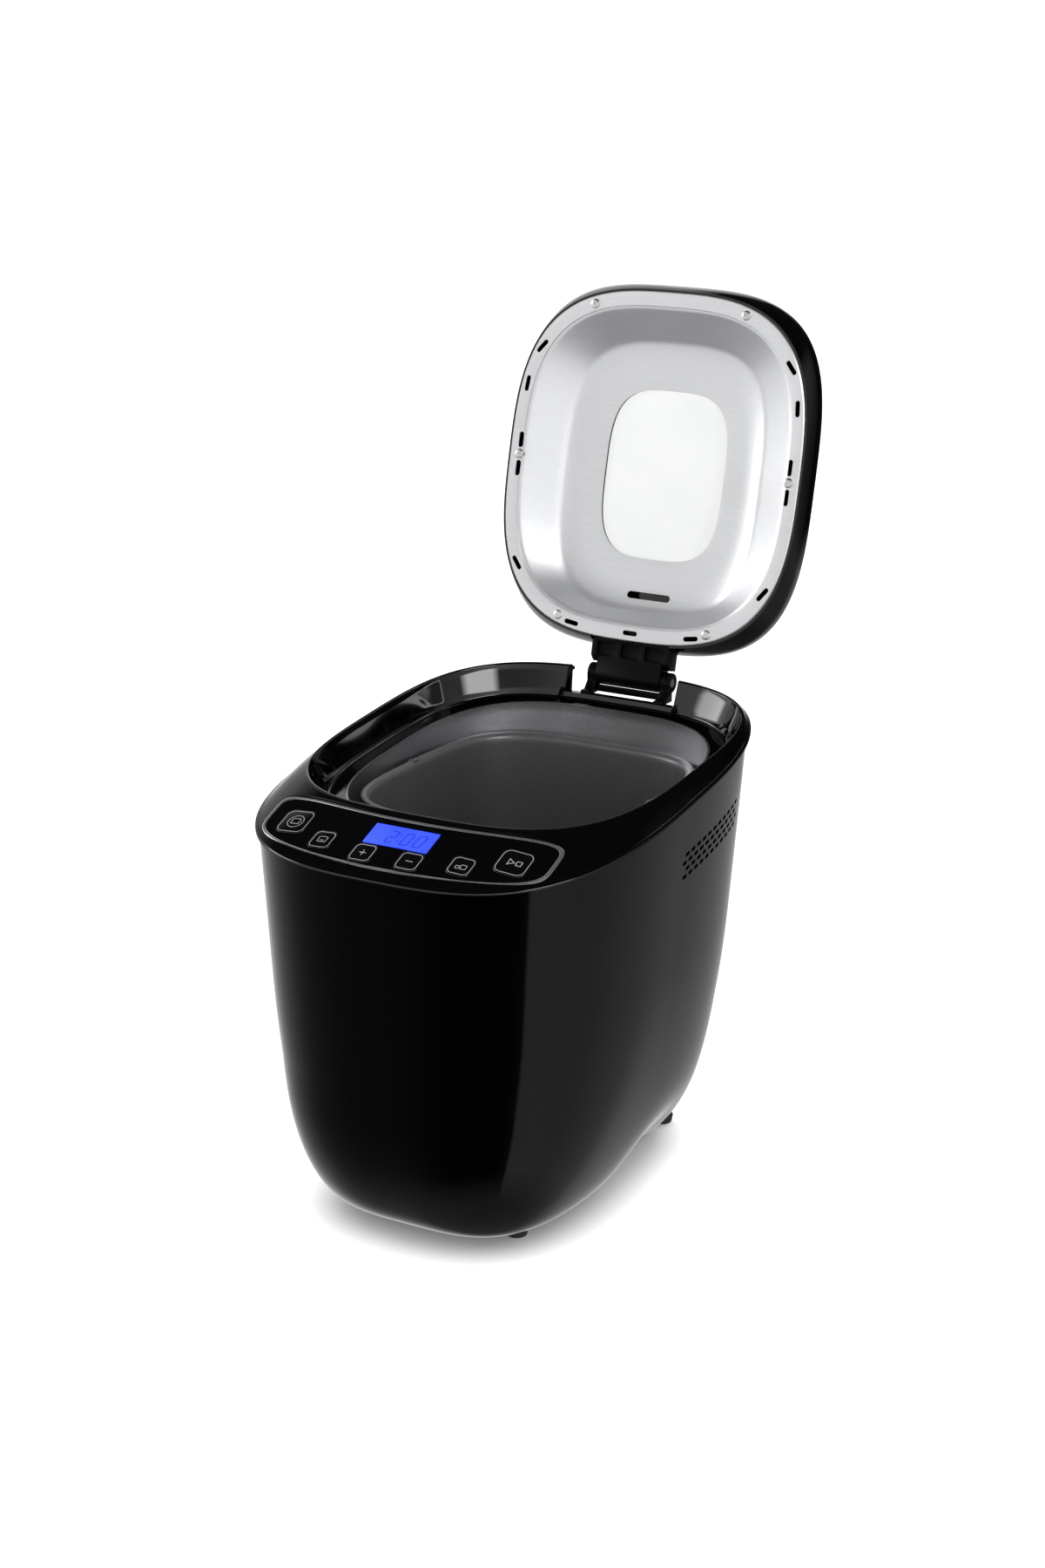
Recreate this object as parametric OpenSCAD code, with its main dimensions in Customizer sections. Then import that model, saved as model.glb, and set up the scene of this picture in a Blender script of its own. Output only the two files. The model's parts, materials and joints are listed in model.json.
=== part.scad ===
// Bread machine with a lift-up windowed lid, a belt-driven kneading paddle and a lift-out pan.
// X runs across the front, Y runs from the front to the back and Z runs up from the table.
// The origin lies on the table, under the middle of the machine's box with its lid open.

/* [Housing] */
// Width of the outer shell just under the top frame
shell_w = 236.8; // [226:0.2:290]
// Depth of the outer shell just under the top frame
shell_d = 295.5; // [288:0.5:360]
// Thickness of the shell's moulded walls
shell_wall = 2.5; // [2:0.1:3]
// Height of the seam between shell and top frame, at the middle of the machine
seam_h = 249.5; // [246:0.5:300]
// Slope of the seam, which is higher at the back
seam_tilt = 8.43; // [8:0.01:9]
// How far each side leans in for each unit of height
side_taper = 0.07; // [0.05:0.01:0.08]
// How far the side curves in under the machine
side_tuck = 36.5; // [25:0.5:40]
// How far the front curves in under the machine
front_tuck = 36; // [25:0.5:40]
// How far the back curves in under the machine
rear_tuck = 18; // [10:0.5:24]
// Height of the feet
foot_h = 5; // [4:0.5:8]
// Radius of a foot
foot_r = 7; // [6:0.5:9]
// Thickness of the base plate
base_t = 3; // [2.5:0.1:4]
// Depth of the hand grip in the lower edge of each side
grip_depth = 14; // [0:0.5:16]
// Half length of the hand grip
grip_half = 36; // [26:0.5:42]

/* [Top frame] */
// Overhang of the top frame past the shell
lip_out = 2.8; // [2:0.1:4]
// Width of the opening's rim
rim_w = 220.6; // [219:0.2:260]
// Depth of the opening's rim
rim_d = 239.4; // [238:0.2:290]
// Height of the middle of the rim
rim_h = 263.5; // [262:0.5:320]
// Slope of the rim, which is higher at the back
rim_tilt = 6; // [5.5:0.1:6.5]
// Place of the rim's middle behind the housing's middle
rim_y = 22.4; // [20:0.1:24]
// Depth of the lid's seat below the rim
seat_drop = 17; // [16:0.1:18]
// Gap that the bumpers fill between seat and lid
bumper_t = 1.4; // [1.2:0.1:2]
// Thickness of the frame's walls
frame_wall = 2.6; // [2.4:0.1:3]

/* [Lid] */
// Width of the steel tray in the lid
tray_w = 200.4; // [190:0.2:201]
// Depth of the steel tray in the lid
tray_d = 215.6; // [205:0.2:216]
// Depth of the tray's hollow
tray_deep = 16; // [14:0.5:18]
// Thickness of the lid's cover from the seat up
lid_t = 28.6; // [27:0.2:32]
// Thickness of the lid's cover wall
lid_wall = 2.6; // [2.4:0.1:3]
// Thickness of sheet metal
sheet_t = 0.8; // [0.6:0.1:1]
// Width of the window
window_w = 83; // [70:0.5:90]
// Length of the window
window_d = 105; // [90:0.5:112]
// Place of the window behind the lid's middle
window_y = 3.7; // [0:0.1:6]
// Angle through which the lid opens
lid_swing = 109.8; // [100:0.1:112]
// Half width of the hinge arm
arm_half = 27.2; // [24:0.2:30]
// Radius of the hinge pin
pin_r = 2.5; // [2:0.1:3]

/* [Control panel] */
// Slope of the control panel
panel_tilt = 22.2; // [20:0.1:24]
// Radius of the panel's crown from side to side
panel_r = 760; // [700:5:1200]
// Half length of the panel's border
border_half = 93; // [88:0.5:95]
// Width of the bright border line
border_w = 2.2; // [1.8:0.1:3]
// Width of the display
display_w = 41; // [36:0.5:44]
// Height of the display
display_h = 16.5; // [14:0.5:18]
// Size of a large button
big_key = 20; // [16:0.5:21]
// Size of a small button
small_key = 15; // [12:0.5:16]
// Travel of a button
key_travel = 0.8; // [0.5:0.1:1]

/* [Chamber and pan] */
// Width of the opening into the baking chamber
bay_w = 190; // [188:0.5:191]
// Depth of the opening into the baking chamber
bay_d = 208; // [204:0.5:209]
// Width of the pan at its rim
pan_w = 164.6; // [158:0.2:166]
// Depth of the pan at its rim
pan_d = 183.6; // [178:0.2:186]
// Height of the pan's floor above its foot
pan_rise = 33; // [31:0.5:36]
// Height of the pan's rim above its floor
pan_deep = 135; // [100:1:137]
// Wall of the pan
pan_wall = 1.6; // [1.4:0.1:2]
// Radius of the pan handle's wire
wire_r = 2; // [1.8:0.1:2.2]
// Radius of the heating element's tube
element_r = 3.2; // [2.5:0.1:3.4]

/* [Drive] */
// Height of the chassis plate's top
chassis_h = 69; // [66:0.5:76]
// Thickness of the chassis plate
chassis_t = 3; // [2:0.5:4]
// Radius of the drive shaft
shaft_r = 5; // [4:0.1:6]
// Radius of the shaft in the pan
paddle_shaft_r = 4; // [3.5:0.1:4.5]
// Groove radius of the large pulley
big_pulley_r = 50; // [44:0.5:54]
// Groove radius of the small pulley
small_pulley_r = 7.5; // [6.5:0.1:9]
// Width of the drive belt
belt_w = 6; // [5:0.5:7]
// Thickness of the drive belt
belt_t = 2.5; // [2:0.1:3]
// Side of the motor's iron core
core_w = 54; // [46:1:56]
// Reach of the paddle's blade from the shaft
paddle_reach = 45; // [35:1:55]

/* [Hidden] */

$fn = 48;
// Points round each moulded outline
facets = 72;
// Gap round a part that fits in another, and the gap of a bearing
clear = 0.3;
running = 0.05;

// Squareness of the outlines: 2 is an ellipse and more is squarer
shell_corner = 3.1;
foot_corner = 3.5;
seam_corner = 3.0;
rim_corner = 3.26;
tray_corner = 3.0;
window_corner = 3.5;
bay_corner = 3.0;
pan_corner = 3.8;

// Housing: the taper of front and back, and the height over which each wall curves in
front_taper = 0.03;
rear_taper = 0.10;
side_sweep = 147;
front_sweep = 75;
rear_sweep = 120;
square_h = 100;
level_h = 20;
edge_h = foot_h + base_t;
grip_y = 40;
grip_h = 30;
shell_heights = [edge_h, edge_h + 4, edge_h + 9, 25, 34, 45, 58, 76, 104, 150, 200, seam_h];

// Feet and base screws
front_foot = [52, -80];
rear_foot = [52, 102];
post_r = 5;
front_post = [49, -62];
rear_post = [40, 74];
screw_r = 1.5;
screw_head_r = 3;

// Rim, seat and chamber mouth, all square to the sloping rim
seat_depth = seat_drop + bumper_t;
bay_y = rim_y + seat_depth * sin(rim_tilt);

// Lid: the hinge lies level with the back of the rim, just behind it
hinge_reach = 130.3;
hinge_rise = 10.25;
lid_shut_y = rim_y + seat_drop * sin(rim_tilt);
lid_shut_h = rim_h - seat_drop * cos(rim_tilt);
hinge_y = lid_shut_y + hinge_reach * cos(rim_tilt) - hinge_rise * sin(rim_tilt);
hinge_h = lid_shut_h + hinge_reach * sin(rim_tilt) + hinge_rise * cos(rim_tilt);
// How far the cover stands out past the tray at its sides and ends, and its squareness, over height
cover_side = [[1, 1.7], [6, 2.6], [12, 3.2], [19, 2.6], [23, 0.8], [26, -3.2], [27.6, -9.5]];
cover_end = [[1, 1.7], [6, 4], [12, 5.5], [19, 5.8], [23, 4.6], [26, 1], [27.6, -6]];
cover_corner = [[1, 3], [12, 3.35]];
barrel_r = 7;
arm_low = 3.6;
arm_high = 15;
arm_bevel = 3.8; // lower edge by the ears, so that the shut arm clears them
ear_t = 6;
ear_r = 6.2;
ear_knee = 4.3;
ear_drop = 2;
barrel_half = arm_half + 1.4 - ear_t - clear;
notch_gap = 9.9;
notch_half = barrel_half + clear + ear_t + notch_gap;
notch_h = hinge_h - 10;
bracket_y = hinge_y - 14.8;
bracket_d = 4;
bracket_h = notch_h - 0.3;
shelf_h = notch_h - 5;

// Control panel, whose own frame lies in its sloping surface
panel_y = -95.95;
panel_h = 251.4;
border_mid = -28.75;
border_tall = 21.75;
border_bend = 14;
border_corner = 4.6;
panel_sheet = 1;
display_s = -22.2;
board_depth = 17;
board_t = 1.6;
key_flange = 1.2;
key_hold = 4.6;
switch_top = 10;
stem_r = 2;
keys = [[-71, -22, big_key], [-45, -34.2, small_key], [-15, -39.4, small_key],
    [15, -39.4, small_key], [45, -34.2, small_key], [71, -22, big_key]];
board_posts = [[-56, -14], [56, -14], [-30, -41], [30, -41]];

// Pan and chamber heights, from the chassis up
chamber_floor = chassis_h + 1;
pan_floor = chamber_floor + pan_rise;
pan_rim = pan_floor + pan_deep;
bail_h = pan_rim - 4.6;
bail_x = pan_w / 2 + 4.2;
bail_y = pan_d / 2 + 4.7;
foot_ring_r = 52;
element_h = chamber_floor + 18;
element_x = 76;
element_y = 82;
chamber_x = 86;
chamber_y = 90;
leg_at = [24, 48];

// Drive heights, from the pan's floor down to the belt
hub_r = 11;
hub_top = pan_floor + 7;
shaft_top = hub_top + 12;
pan_disc_h = chamber_floor + 14;
drive_disc_h = chamber_floor + 3.5;
disc_t = 3;
disc_r = 15;
dog_gap = 0.5;
belt_h = chassis_h - 36;
motor_at = [-20, -97];
motor_shaft_r = 3;
fan_h = chassis_h + 52;

// Middle of the whole box from front to back, with the lid open
lid_back = max([for (w = [12, 19, 23, lid_t - 2.6]) each
    [for (p = lid_ring(w, 0)) let (q = lid_turned(p)) q.y]]);
mid_y = (lid_back - (shell_d / 2 + lip_out)) / 2;

// ---- Outlines and skins ----

function power(x, p) = sign(x) * pow(abs(x), p);

// Outline between an ellipse and a rectangle, with half sizes a and b
function oval(a, b, n) = [for (i = [0:facets - 1]) let (t = 360 * i / facets)
    [a * power(cos(t), 2 / n), b * power(sin(t), 2 / n)]];

// The same outline in space at height h, sloping along y
function hoop(a, b, n, y, h, tilt) = [for (p = oval(a, b, n)) [p.x, y + p.y, h + tan(tilt) * p.y]];

// An outline at a depth square to the rim's plane
function level(a, b, n, depth) = hoop(a, b * cos(rim_tilt), n,
    rim_y + depth * sin(rim_tilt), rim_h - depth * cos(rim_tilt), rim_tilt);

// Closed surface through a stack of outlines: capped at both ends, or joined end to end as a ring
module skin(rings, joined = false) {
    n = len(rings[0]);
    count = len(rings);
    points = [for (r = rings) each r];
    last = joined ? count - 1 : count - 2;
    walls = [for (i = [0:last], j = [0:n - 1])
        let (k = (j + 1) % n, low = i * n, high = ((i + 1) % count) * n)
        each [[low + j, high + j, high + k], [low + j, high + k, low + k]]];
    caps = [[for (j = [0:n - 1]) j], [for (j = [n - 1:-1:0]) (count - 1) * n + j]];
    polyhedron(points, joined ? walls : concat(walls, caps), convexity = 8);
}

// Tube of radius r along points that lie at one height
module wire(path, r, sides) {
    last = len(path) - 1;
    skin([for (i = [0:last])
        let (a = path[max(0, i - 1)], b = path[min(last, i + 1)], d = (b - a) / norm(b - a))
        [for (j = [0:sides - 1]) let (t = 360 * j / sides)
            path[i] + r * (cos(t) * [-d.y, d.x, 0] + sin(t) * [0, 0, 1])]]);
}

// Rectangle with round corners
module round_rect(w, d, r) {
    square([w - 2 * r, d], center = true);
    square([w, d - 2 * r], center = true);
    for (x = [-1, 1], y = [-1, 1]) translate([x * (w / 2 - r), y * (d / 2 - r)]) circle(r);
}

// Slot with round ends, long from end to end
module slot(long, wide) {
    square([long - wide, wide], center = true);
    for (x = [-1, 1]) translate([x * (long - wide) / 2, 0]) circle(wide / 2);
}

module box(low, high) {
    translate(low) cube(high - low);
}

// Outline drawn in y and z and made solid along x
module sideways(t) {
    rotate([90, 0, 90]) linear_extrude(t) children();
}

module mirrored() {
    children();
    mirror([1, 0, 0]) children();
}

module placed() {
    translate([0, -mid_y, 0]) children();
}

// ---- Housing ----

function curve_in(z, tuck, sweep, t) =
    let (k = max(0, min(1, (foot_h + t + sweep - z) / sweep))) tuck * (1 - sqrt(1 - k * k));

function lean(z) = tan(seam_tilt) * pow(max(0, z - level_h) / (seam_h - level_h), 2);

// Share of the grip's depth at a place on the side
function grip(y, z) = exp(-pow((y - grip_y) / grip_half, 2) - pow((z - foot_h) / grip_h, 2));

// Outline of the housing at height z, t inside its outer face
function housing(z, t) =
    let (
        a = shell_w / 2 - t - side_taper * (seam_h - z) - curve_in(z, side_tuck, side_sweep, t),
        f = shell_d / 2 - t - front_taper * (seam_h - z) - curve_in(z, front_tuck, front_sweep, t),
        b = shell_d / 2 - t - rear_taper * (seam_h - z) - curve_in(z, rear_tuck, rear_sweep, t),
        n = shell_corner + (foot_corner - shell_corner) * max(0, 1 - z / square_h)
    )
    [for (p = oval(a, (f + b) / 2, n)) let (y = (b - f) / 2 + p.y)
        [p.x * (1 - grip_depth / a * grip(y, z)), y, z + lean(z) * y]];

module shell_body() {
    n = len(shell_heights) - 1;
    skin(concat([for (i = [0:n]) housing(shell_heights[i], 0)],
        [for (i = [n:-1:0]) housing(shell_heights[i], shell_wall)]), joined = true);
}

// Window in the back that the rear cover closes
cover_half = 66;
cover_low = 34;
cover_high = 226;
cover_front = 60;
gland_at = [34, 52];
gland_r = 9;
pad_r = 14;

module cover_space(gap) {
    box([-cover_half - gap, cover_front, cover_low - gap],
        [cover_half + gap, shell_d, cover_high + gap]);
}

vent_pitch = [7.2, 4.4];
vent_size = [5.2, 2.4];
vent_mid = [36, 216.5];

// Four rows of short slots, each row set half a step from the next
module vent_rows(columns) {
    for (row = [0:3], i = [0:columns - 1])
        translate([(i - (columns - 1) / 2 + (row % 2) / 2) * vent_pitch.x, (row - 1.5) * vent_pitch.y])
            slot(vent_size.x, vent_size.y);
}

module outer_shell() {
    color("#101012") placed() difference() {
        shell_body();
        cover_space(clear);
        box([-notch_half, bracket_y, notch_h - ear_drop], [notch_half, shell_d, 2 * notch_h]);
        translate([-shell_w, vent_mid.x, vent_mid.y]) rotate([seam_tilt, 0, 0]) rotate([90, 0, 90])
            linear_extrude(2 * shell_w) vent_rows(11);
    }
}

module rear_cover() {
    color("#151517") placed() difference() {
        union() {
            intersection() {
                shell_body();
                cover_space(0);
            }
            at_gland() translate([0, 0, -7.5]) cylinder(r = pad_r, h = 7.5);
        }
        at_gland() translate([0, 0, -40]) cylinder(r = gland_r, h = 60);
        translate([0, shell_d, 180]) rotate([90, 0, 0]) linear_extrude(shell_d) vent_rows(13);
    }
}

gland_bore = 3.8;

// The gland's face, level with the top of its round pad on the back
module at_gland() {
    z = gland_at.y + pad_r;
    y = shell_d / 2 - rear_taper * (seam_h - z) - curve_in(z, rear_tuck, rear_sweep, 0);
    translate([gland_at.x, y, gland_at.y]) rotate([-90, 0, 0]) children();
}

// Bush that the mains lead enters through
module cord_gland() {
    color("#0c0c0d") placed() at_gland() difference() {
        union() {
            translate([0, 0, -9]) cylinder(r = gland_r - clear, h = 10);
            cylinder(r1 = gland_r + 2, r2 = gland_r + 1, h = 2.5);
            cylinder(r = gland_r - 2.5, h = 6);
        }
        translate([0, 0, -10]) cylinder(r = gland_bore, h = 20);
    }
}

module base_plate() {
    color("#1b1b1d") placed() difference() {
        skin([for (z = [foot_h, foot_h + base_t / 2, edge_h]) housing(z, 0)]);
        at_posts() {
            translate([0, 0, foot_h - 1]) cylinder(r = screw_r + clear, h = base_t + 2);
            translate([0, 0, foot_h - 1]) cylinder(r = screw_head_r + clear, h = 2.5);
        }
    }
}

module at_posts() {
    mirrored() {
        translate(front_post) children();
        translate(rear_post) children();
    }
}

module feet() {
    color("#202022") placed() mirrored() for (at = [front_foot, rear_foot])
        translate(at) cylinder(r1 = foot_r - 1, r2 = foot_r, h = foot_h);
}

module base_screws() {
    color("silver") placed() at_posts() {
        translate([0, 0, foot_h]) cylinder(r = screw_head_r, h = 1.5);
        translate([0, 0, foot_h + 1]) cylinder(r = screw_r, h = 16);
    }
}

// ---- Top frame ----

// A point of the seam's outline, set in by inset and raised by rise
function seam_ring(inset, rise) =
    let (a = shell_w / 2 + lip_out - inset, b = shell_d / 2 + lip_out - inset)
    hoop(a, b, seam_corner, 0, seam_h + rise, seam_tilt);

function rim_ring(grow, drop) = hoop(rim_w / 2 + grow, rim_d / 2 * cos(rim_tilt) + grow, rim_corner,
    rim_y, rim_h - drop, rim_tilt);

lip_rise = 2.4;
lip_round = 1.6;
rim_round = 1.2;
roof_crown = 0.8;

// Outline part of the way from the lip to the rim, across the sloping top
function roof_ring(q, drop) =
    let (low = seam_ring(lip_round, lip_rise), high = rim_ring(rim_round, 0))
    [for (i = [0:facets - 1]) low[i] + q * (high[i] - low[i])
        + [0, 0, roof_crown * sin(180 * q) - drop]];

seat_x = tray_w / 2 + 1.8;
seat_y = tray_d / 2 + 1.8;
roof_t = 3.5;
under_inset = lip_out + shell_wall + 0.3;

cheek_t = 2.2;

// Rings over the frame's outside, across its crest and down into the opening
frame_outside = [
    seam_ring(0, 0), seam_ring(0, 1.2), seam_ring(0.5, 2), roof_ring(0, 0), roof_ring(0.25, 0),
    roof_ring(0.5, 0), roof_ring(0.75, 0), rim_ring(rim_round, 0), rim_ring(0.4, 0.3),
    rim_ring(0, 1.2), level(seat_x + 1.6, seat_y + 1.8, rim_corner, seat_depth - 2),
    level(seat_x + 0.4, seat_y + 0.4, rim_corner, seat_depth - 0.4),
    level(seat_x - 0.6, seat_y - 0.6, rim_corner, seat_depth),
    level(bay_w / 2, bay_d / 2, bay_corner, seat_depth),
    level(bay_w / 2, bay_d / 2, bay_corner, seat_depth + frame_wall)
];

// Rings back to the seam along the hidden underside
frame_underside = [
    level(seat_x + 2.2, seat_y + 2.2, rim_corner, seat_depth + frame_wall),
    rim_ring(-0.6, 6.5), roof_ring(0.72, roof_t), roof_ring(0.4, roof_t),
    seam_ring(under_inset, 0)
];

module frame_solid() {
    skin(concat(frame_outside, [seam_ring(under_inset, 0)]), joined = true);
}

module frame_body() {
    skin(concat(frame_outside, frame_underside), joined = true);
}

module top_frame() {
    color("#0b0b0d") placed() difference() {
        union() {
            frame_body();
            box([-notch_half - cheek_t, bracket_y - 5, shelf_h - 4.5],
                [notch_half + cheek_t, bracket_y + bracket_d - 0.7, shelf_h]);
            intersection() {
                frame_solid();
                mirrored() box([notch_half, bracket_y - 20, shelf_h - 4.5],
                    [notch_half + cheek_t, shell_d, 2 * notch_h]);
            }
            for (at = board_posts) on_panel() translate([at.x, at.y, -board_depth])
                cylinder(r = 3.4, h = board_depth - 3);
        }
        box([-notch_half, bracket_y - 12, notch_h], [notch_half, shell_d, 2 * notch_h]);
        box([-notch_half, bracket_y, shelf_h], [notch_half, shell_d, notch_h + 1]);
        panel_sheet_space(0, 40);
        on_panel() translate([-display_w / 2 - 3.2, display_s - display_h / 2 - 0.6, -board_depth])
            cube([display_w + 6.4, display_h + 1.2, 2 * board_depth]);
        for (k = keys) at_key(k) translate([0, 0, -12]) linear_extrude(24)
            round_rect(k[2] + 2 * clear, k[2] + 2 * clear, k[2] / 4);
        mirrored() at_bumper() translate([0, 0, -frame_wall - 1]) cylinder(r = bumper_stem, h = 4);
    }
}

bumper_x = 58.9;
bumper_reach = 99 * bay_d / 208;
bumper_stem = 1.6;

// Places on the seat, in front, for the rubber buttons that the shut lid rests on
module at_bumper() {
    translate([bumper_x, rim_y + seat_depth * sin(rim_tilt), rim_h - seat_depth * cos(rim_tilt)])
        rotate([rim_tilt, 0, 0]) translate([0, -bumper_reach, 0]) children();
}

module lid_bumpers() {
    color("#1d1d1f") placed() mirrored() at_bumper() {
        cylinder(r = 3, h = bumper_t - 0.4);
        translate([0, 0, clear - frame_wall]) cylinder(r = bumper_stem - running, h = frame_wall);
    }
}

// ---- Control panel ----

module on_panel() {
    translate([0, panel_y, panel_h]) rotate([panel_tilt, 0, 0]) children();
}

// A place on the crowned panel, square to its surface
module at_key(k) {
    on_panel() translate([0, k.y, -panel_r]) rotate([0, asin(k.x / panel_r), 0])
        translate([0, 0, panel_r]) children();
}

// Bent outline of the panel, with inset taken off all round
function border(inset) = [for (p = oval(border_half - inset, border_tall - inset, border_corner))
    [p.x, border_mid + border_bend * pow(p.x / border_half, 2) + p.y]];

// Layer of the crowned panel between two heights over its surface
module panel_layer(low, high) {
    intersection() {
        on_panel() translate([0, -80, -panel_r]) rotate([-90, 0, 0]) difference() {
            cylinder(r = panel_r + high, h = 120, $fn = 400);
            translate([0, 0, -1]) cylinder(r = panel_r + low, h = 122, $fn = 400);
        }
        on_panel() translate([0, 0, -20]) linear_extrude(50) children();
    }
}

module panel_sheet_space(gap, high) {
    panel_layer(-panel_sheet - gap, high) polygon(border(-clear));
}

module key_holes() {
    for (k = keys) translate([k.x, k.y]) round_rect(k[2] + 2 * clear, k[2] + 2 * clear, k[2] / 4);
}

module control_panel() {
    color("#08080a") placed() panel_layer(-panel_sheet, 0) difference() {
        polygon(border(border_w + clear / 3));
        key_holes();
        translate([0, display_s]) square([display_w + 2 * clear, display_h + 2 * clear], center = true);
    }
}

module panel_trim() {
    color("#c8c8cc") placed() panel_layer(-panel_sheet, 0.25) difference() {
        polygon(border(0));
        polygon(border(border_w));
    }
}

module display_lens() {
    color("#2a3cff") placed() on_panel() translate([-display_w / 2, display_s - display_h / 2, -1.5])
        cube([display_w, display_h, 1.6]);
}

module display_module() {
    color("#26323a") placed() on_panel() translate([0, display_s, 0]) {
        translate([-display_w / 2 - 2.5, -display_h / 2, -7]) cube([display_w + 5, display_h, 5.5]);
        translate([-display_w / 2, -display_h / 2 + 3, -board_depth])
            cube([display_w, display_h - 6, 11]);
    }
}

board_outline = [[-81, -7], [81, -7], [81, -28], [57, -46], [-57, -46], [-81, -28]];

module control_board() {
    color("#1f5c33") placed() on_panel() translate([0, 0, -board_depth - board_t]) {
        linear_extrude(board_t) polygon(board_outline);
        for (x = [-52, 50]) translate([x, -26, -5]) cube([14, 9, 5.5]);
    }
}

module key_switches() {
    color("#3a3a3d") placed() difference() {
        for (k = keys) at_key(k) {
            translate([-3, -3, -board_depth - 2]) cube([6, 6, board_depth - 9]);
            translate([0, 0, -switch_top - 2]) cylinder(r = 1.6, h = 2);
        }
        on_panel() box([-100, -80, -board_depth - 20], [100, 20, -board_depth]);
    }
}

module key(k) {
    color("#1a1a1d") placed() at_key(k) {
        translate([0, 0, -key_hold - 0.1]) linear_extrude(key_hold + 0.7)
            round_rect(k[2], k[2], k[2] / 4);
        translate([0, 0, -key_hold - key_flange]) linear_extrude(key_flange)
            round_rect(k[2] + 2.4, k[2] + 2.4, k[2] / 4);
        translate([0, 0, key_travel + clear - switch_top])
            cylinder(r = stem_r, h = switch_top - key_travel - clear - key_hold + 0.2);
    }
}

module menu_button() { key(keys[0]); }
module crust_button() { key(keys[1]); }
module time_up_button() { key(keys[2]); }
module time_down_button() { key(keys[3]); }
module loaf_size_button() { key(keys[4]); }
module start_stop_button() { key(keys[5]); }

// ---- Lid ----

// The lid's own frame: the seat plane with y towards the hinge and z out through the cover
module on_lid() {
    placed() translate([0, hinge_y, hinge_h]) rotate([rim_tilt - lid_swing, 0, 0])
        translate([0, -hinge_reach, -hinge_rise]) children();
}

// Where a point of the lid's frame lies when the lid is open
function lid_turned(p) = let (a = rim_tilt - lid_swing, y = p.y - hinge_reach, z = p.z - hinge_rise)
    [p.x, hinge_y + y * cos(a) - z * sin(a), hinge_h + y * sin(a) + z * cos(a)];

function lid_ring(w, t) = let (
        a = tray_w / 2 + lookup(w, cover_side) - t,
        b = tray_d / 2 + lookup(w, cover_end) - t
    )
    [for (p = oval(a, b, lookup(w, cover_corner))) [p.x, p.y, w]];

function lid_flat(a, b, n, y, w) = [for (p = oval(a, b, n)) [p.x, y + p.y, w]];

pane_lap = 3.5;
duct_t = 3;
lid_screw_at = [[52, 97.4], [93.5, 0], [52, -97.4]];
arm_screw_at = [18, 103.2];

module at_lid_screws(w) {
    for (at = lid_screw_at) mirrored() translate([at.x, at.y, w]) children();
}

module lid_cover() {
    color("#0d0d0f") on_lid() difference() {
        union() {
            skin([
                lid_ring(1, 0), lid_ring(6, 0), lid_ring(12, 0), lid_ring(19, 0), lid_ring(23, 0),
                lid_ring(26, 0), lid_ring(27.6, 0),
                lid_flat(tray_w / 2 - 20, tray_d / 2 - 20, tray_corner, 0, lid_t - 0.2),
                lid_flat(window_w / 2 + 2, window_d / 2 + 2, window_corner, window_y, lid_t),
                lid_flat(window_w / 2 + 2, window_d / 2 + 2, window_corner, window_y, lid_t - lid_wall),
                lid_flat(tray_w / 2 - 20, tray_d / 2 - 20, tray_corner, 0, lid_t - lid_wall - 0.1),
                lid_ring(24.8, 5), lid_ring(22, lid_wall + 0.4), lid_ring(18, lid_wall),
                lid_ring(12, lid_wall), lid_ring(6, lid_wall), lid_ring(3.6, 2.2), lid_ring(1, 1.4)
            ], joined = true);
            at_lid_screws(1.2) cylinder(r = 3.2, h = lid_t - 4);
            mirrored() translate([arm_screw_at.x, arm_screw_at.y, arm_high])
                cylinder(r = 4, h = lid_t - arm_high - 2);
        }
        box([-arm_half - clear, tray_d / 2 - 9, -1], [arm_half + clear, hinge_reach, arm_high]);
        at_lid_screws(0) cylinder(r = screw_r + 0.02, h = 12.5);
        mirrored() translate([arm_screw_at.x, arm_screw_at.y, arm_high - 1])
            cylinder(r = screw_r + 0.02, h = 7.5);
    }
}

// Short slots along the tray's flange: place and turn
flange_slot = [10, 3];
flange_slots = [[86, -68.5, 50], [93.5, -44.5, 84], [93.5, -9, 90], [93.5, 9, 90], [86, 68.5, -52],
    [41.9, 101.2, -8]];
floor_x = 65;
floor_end = 81;
floor_corner = 3.3;
floor_y = 4.3;
dish = 3.2;

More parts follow.
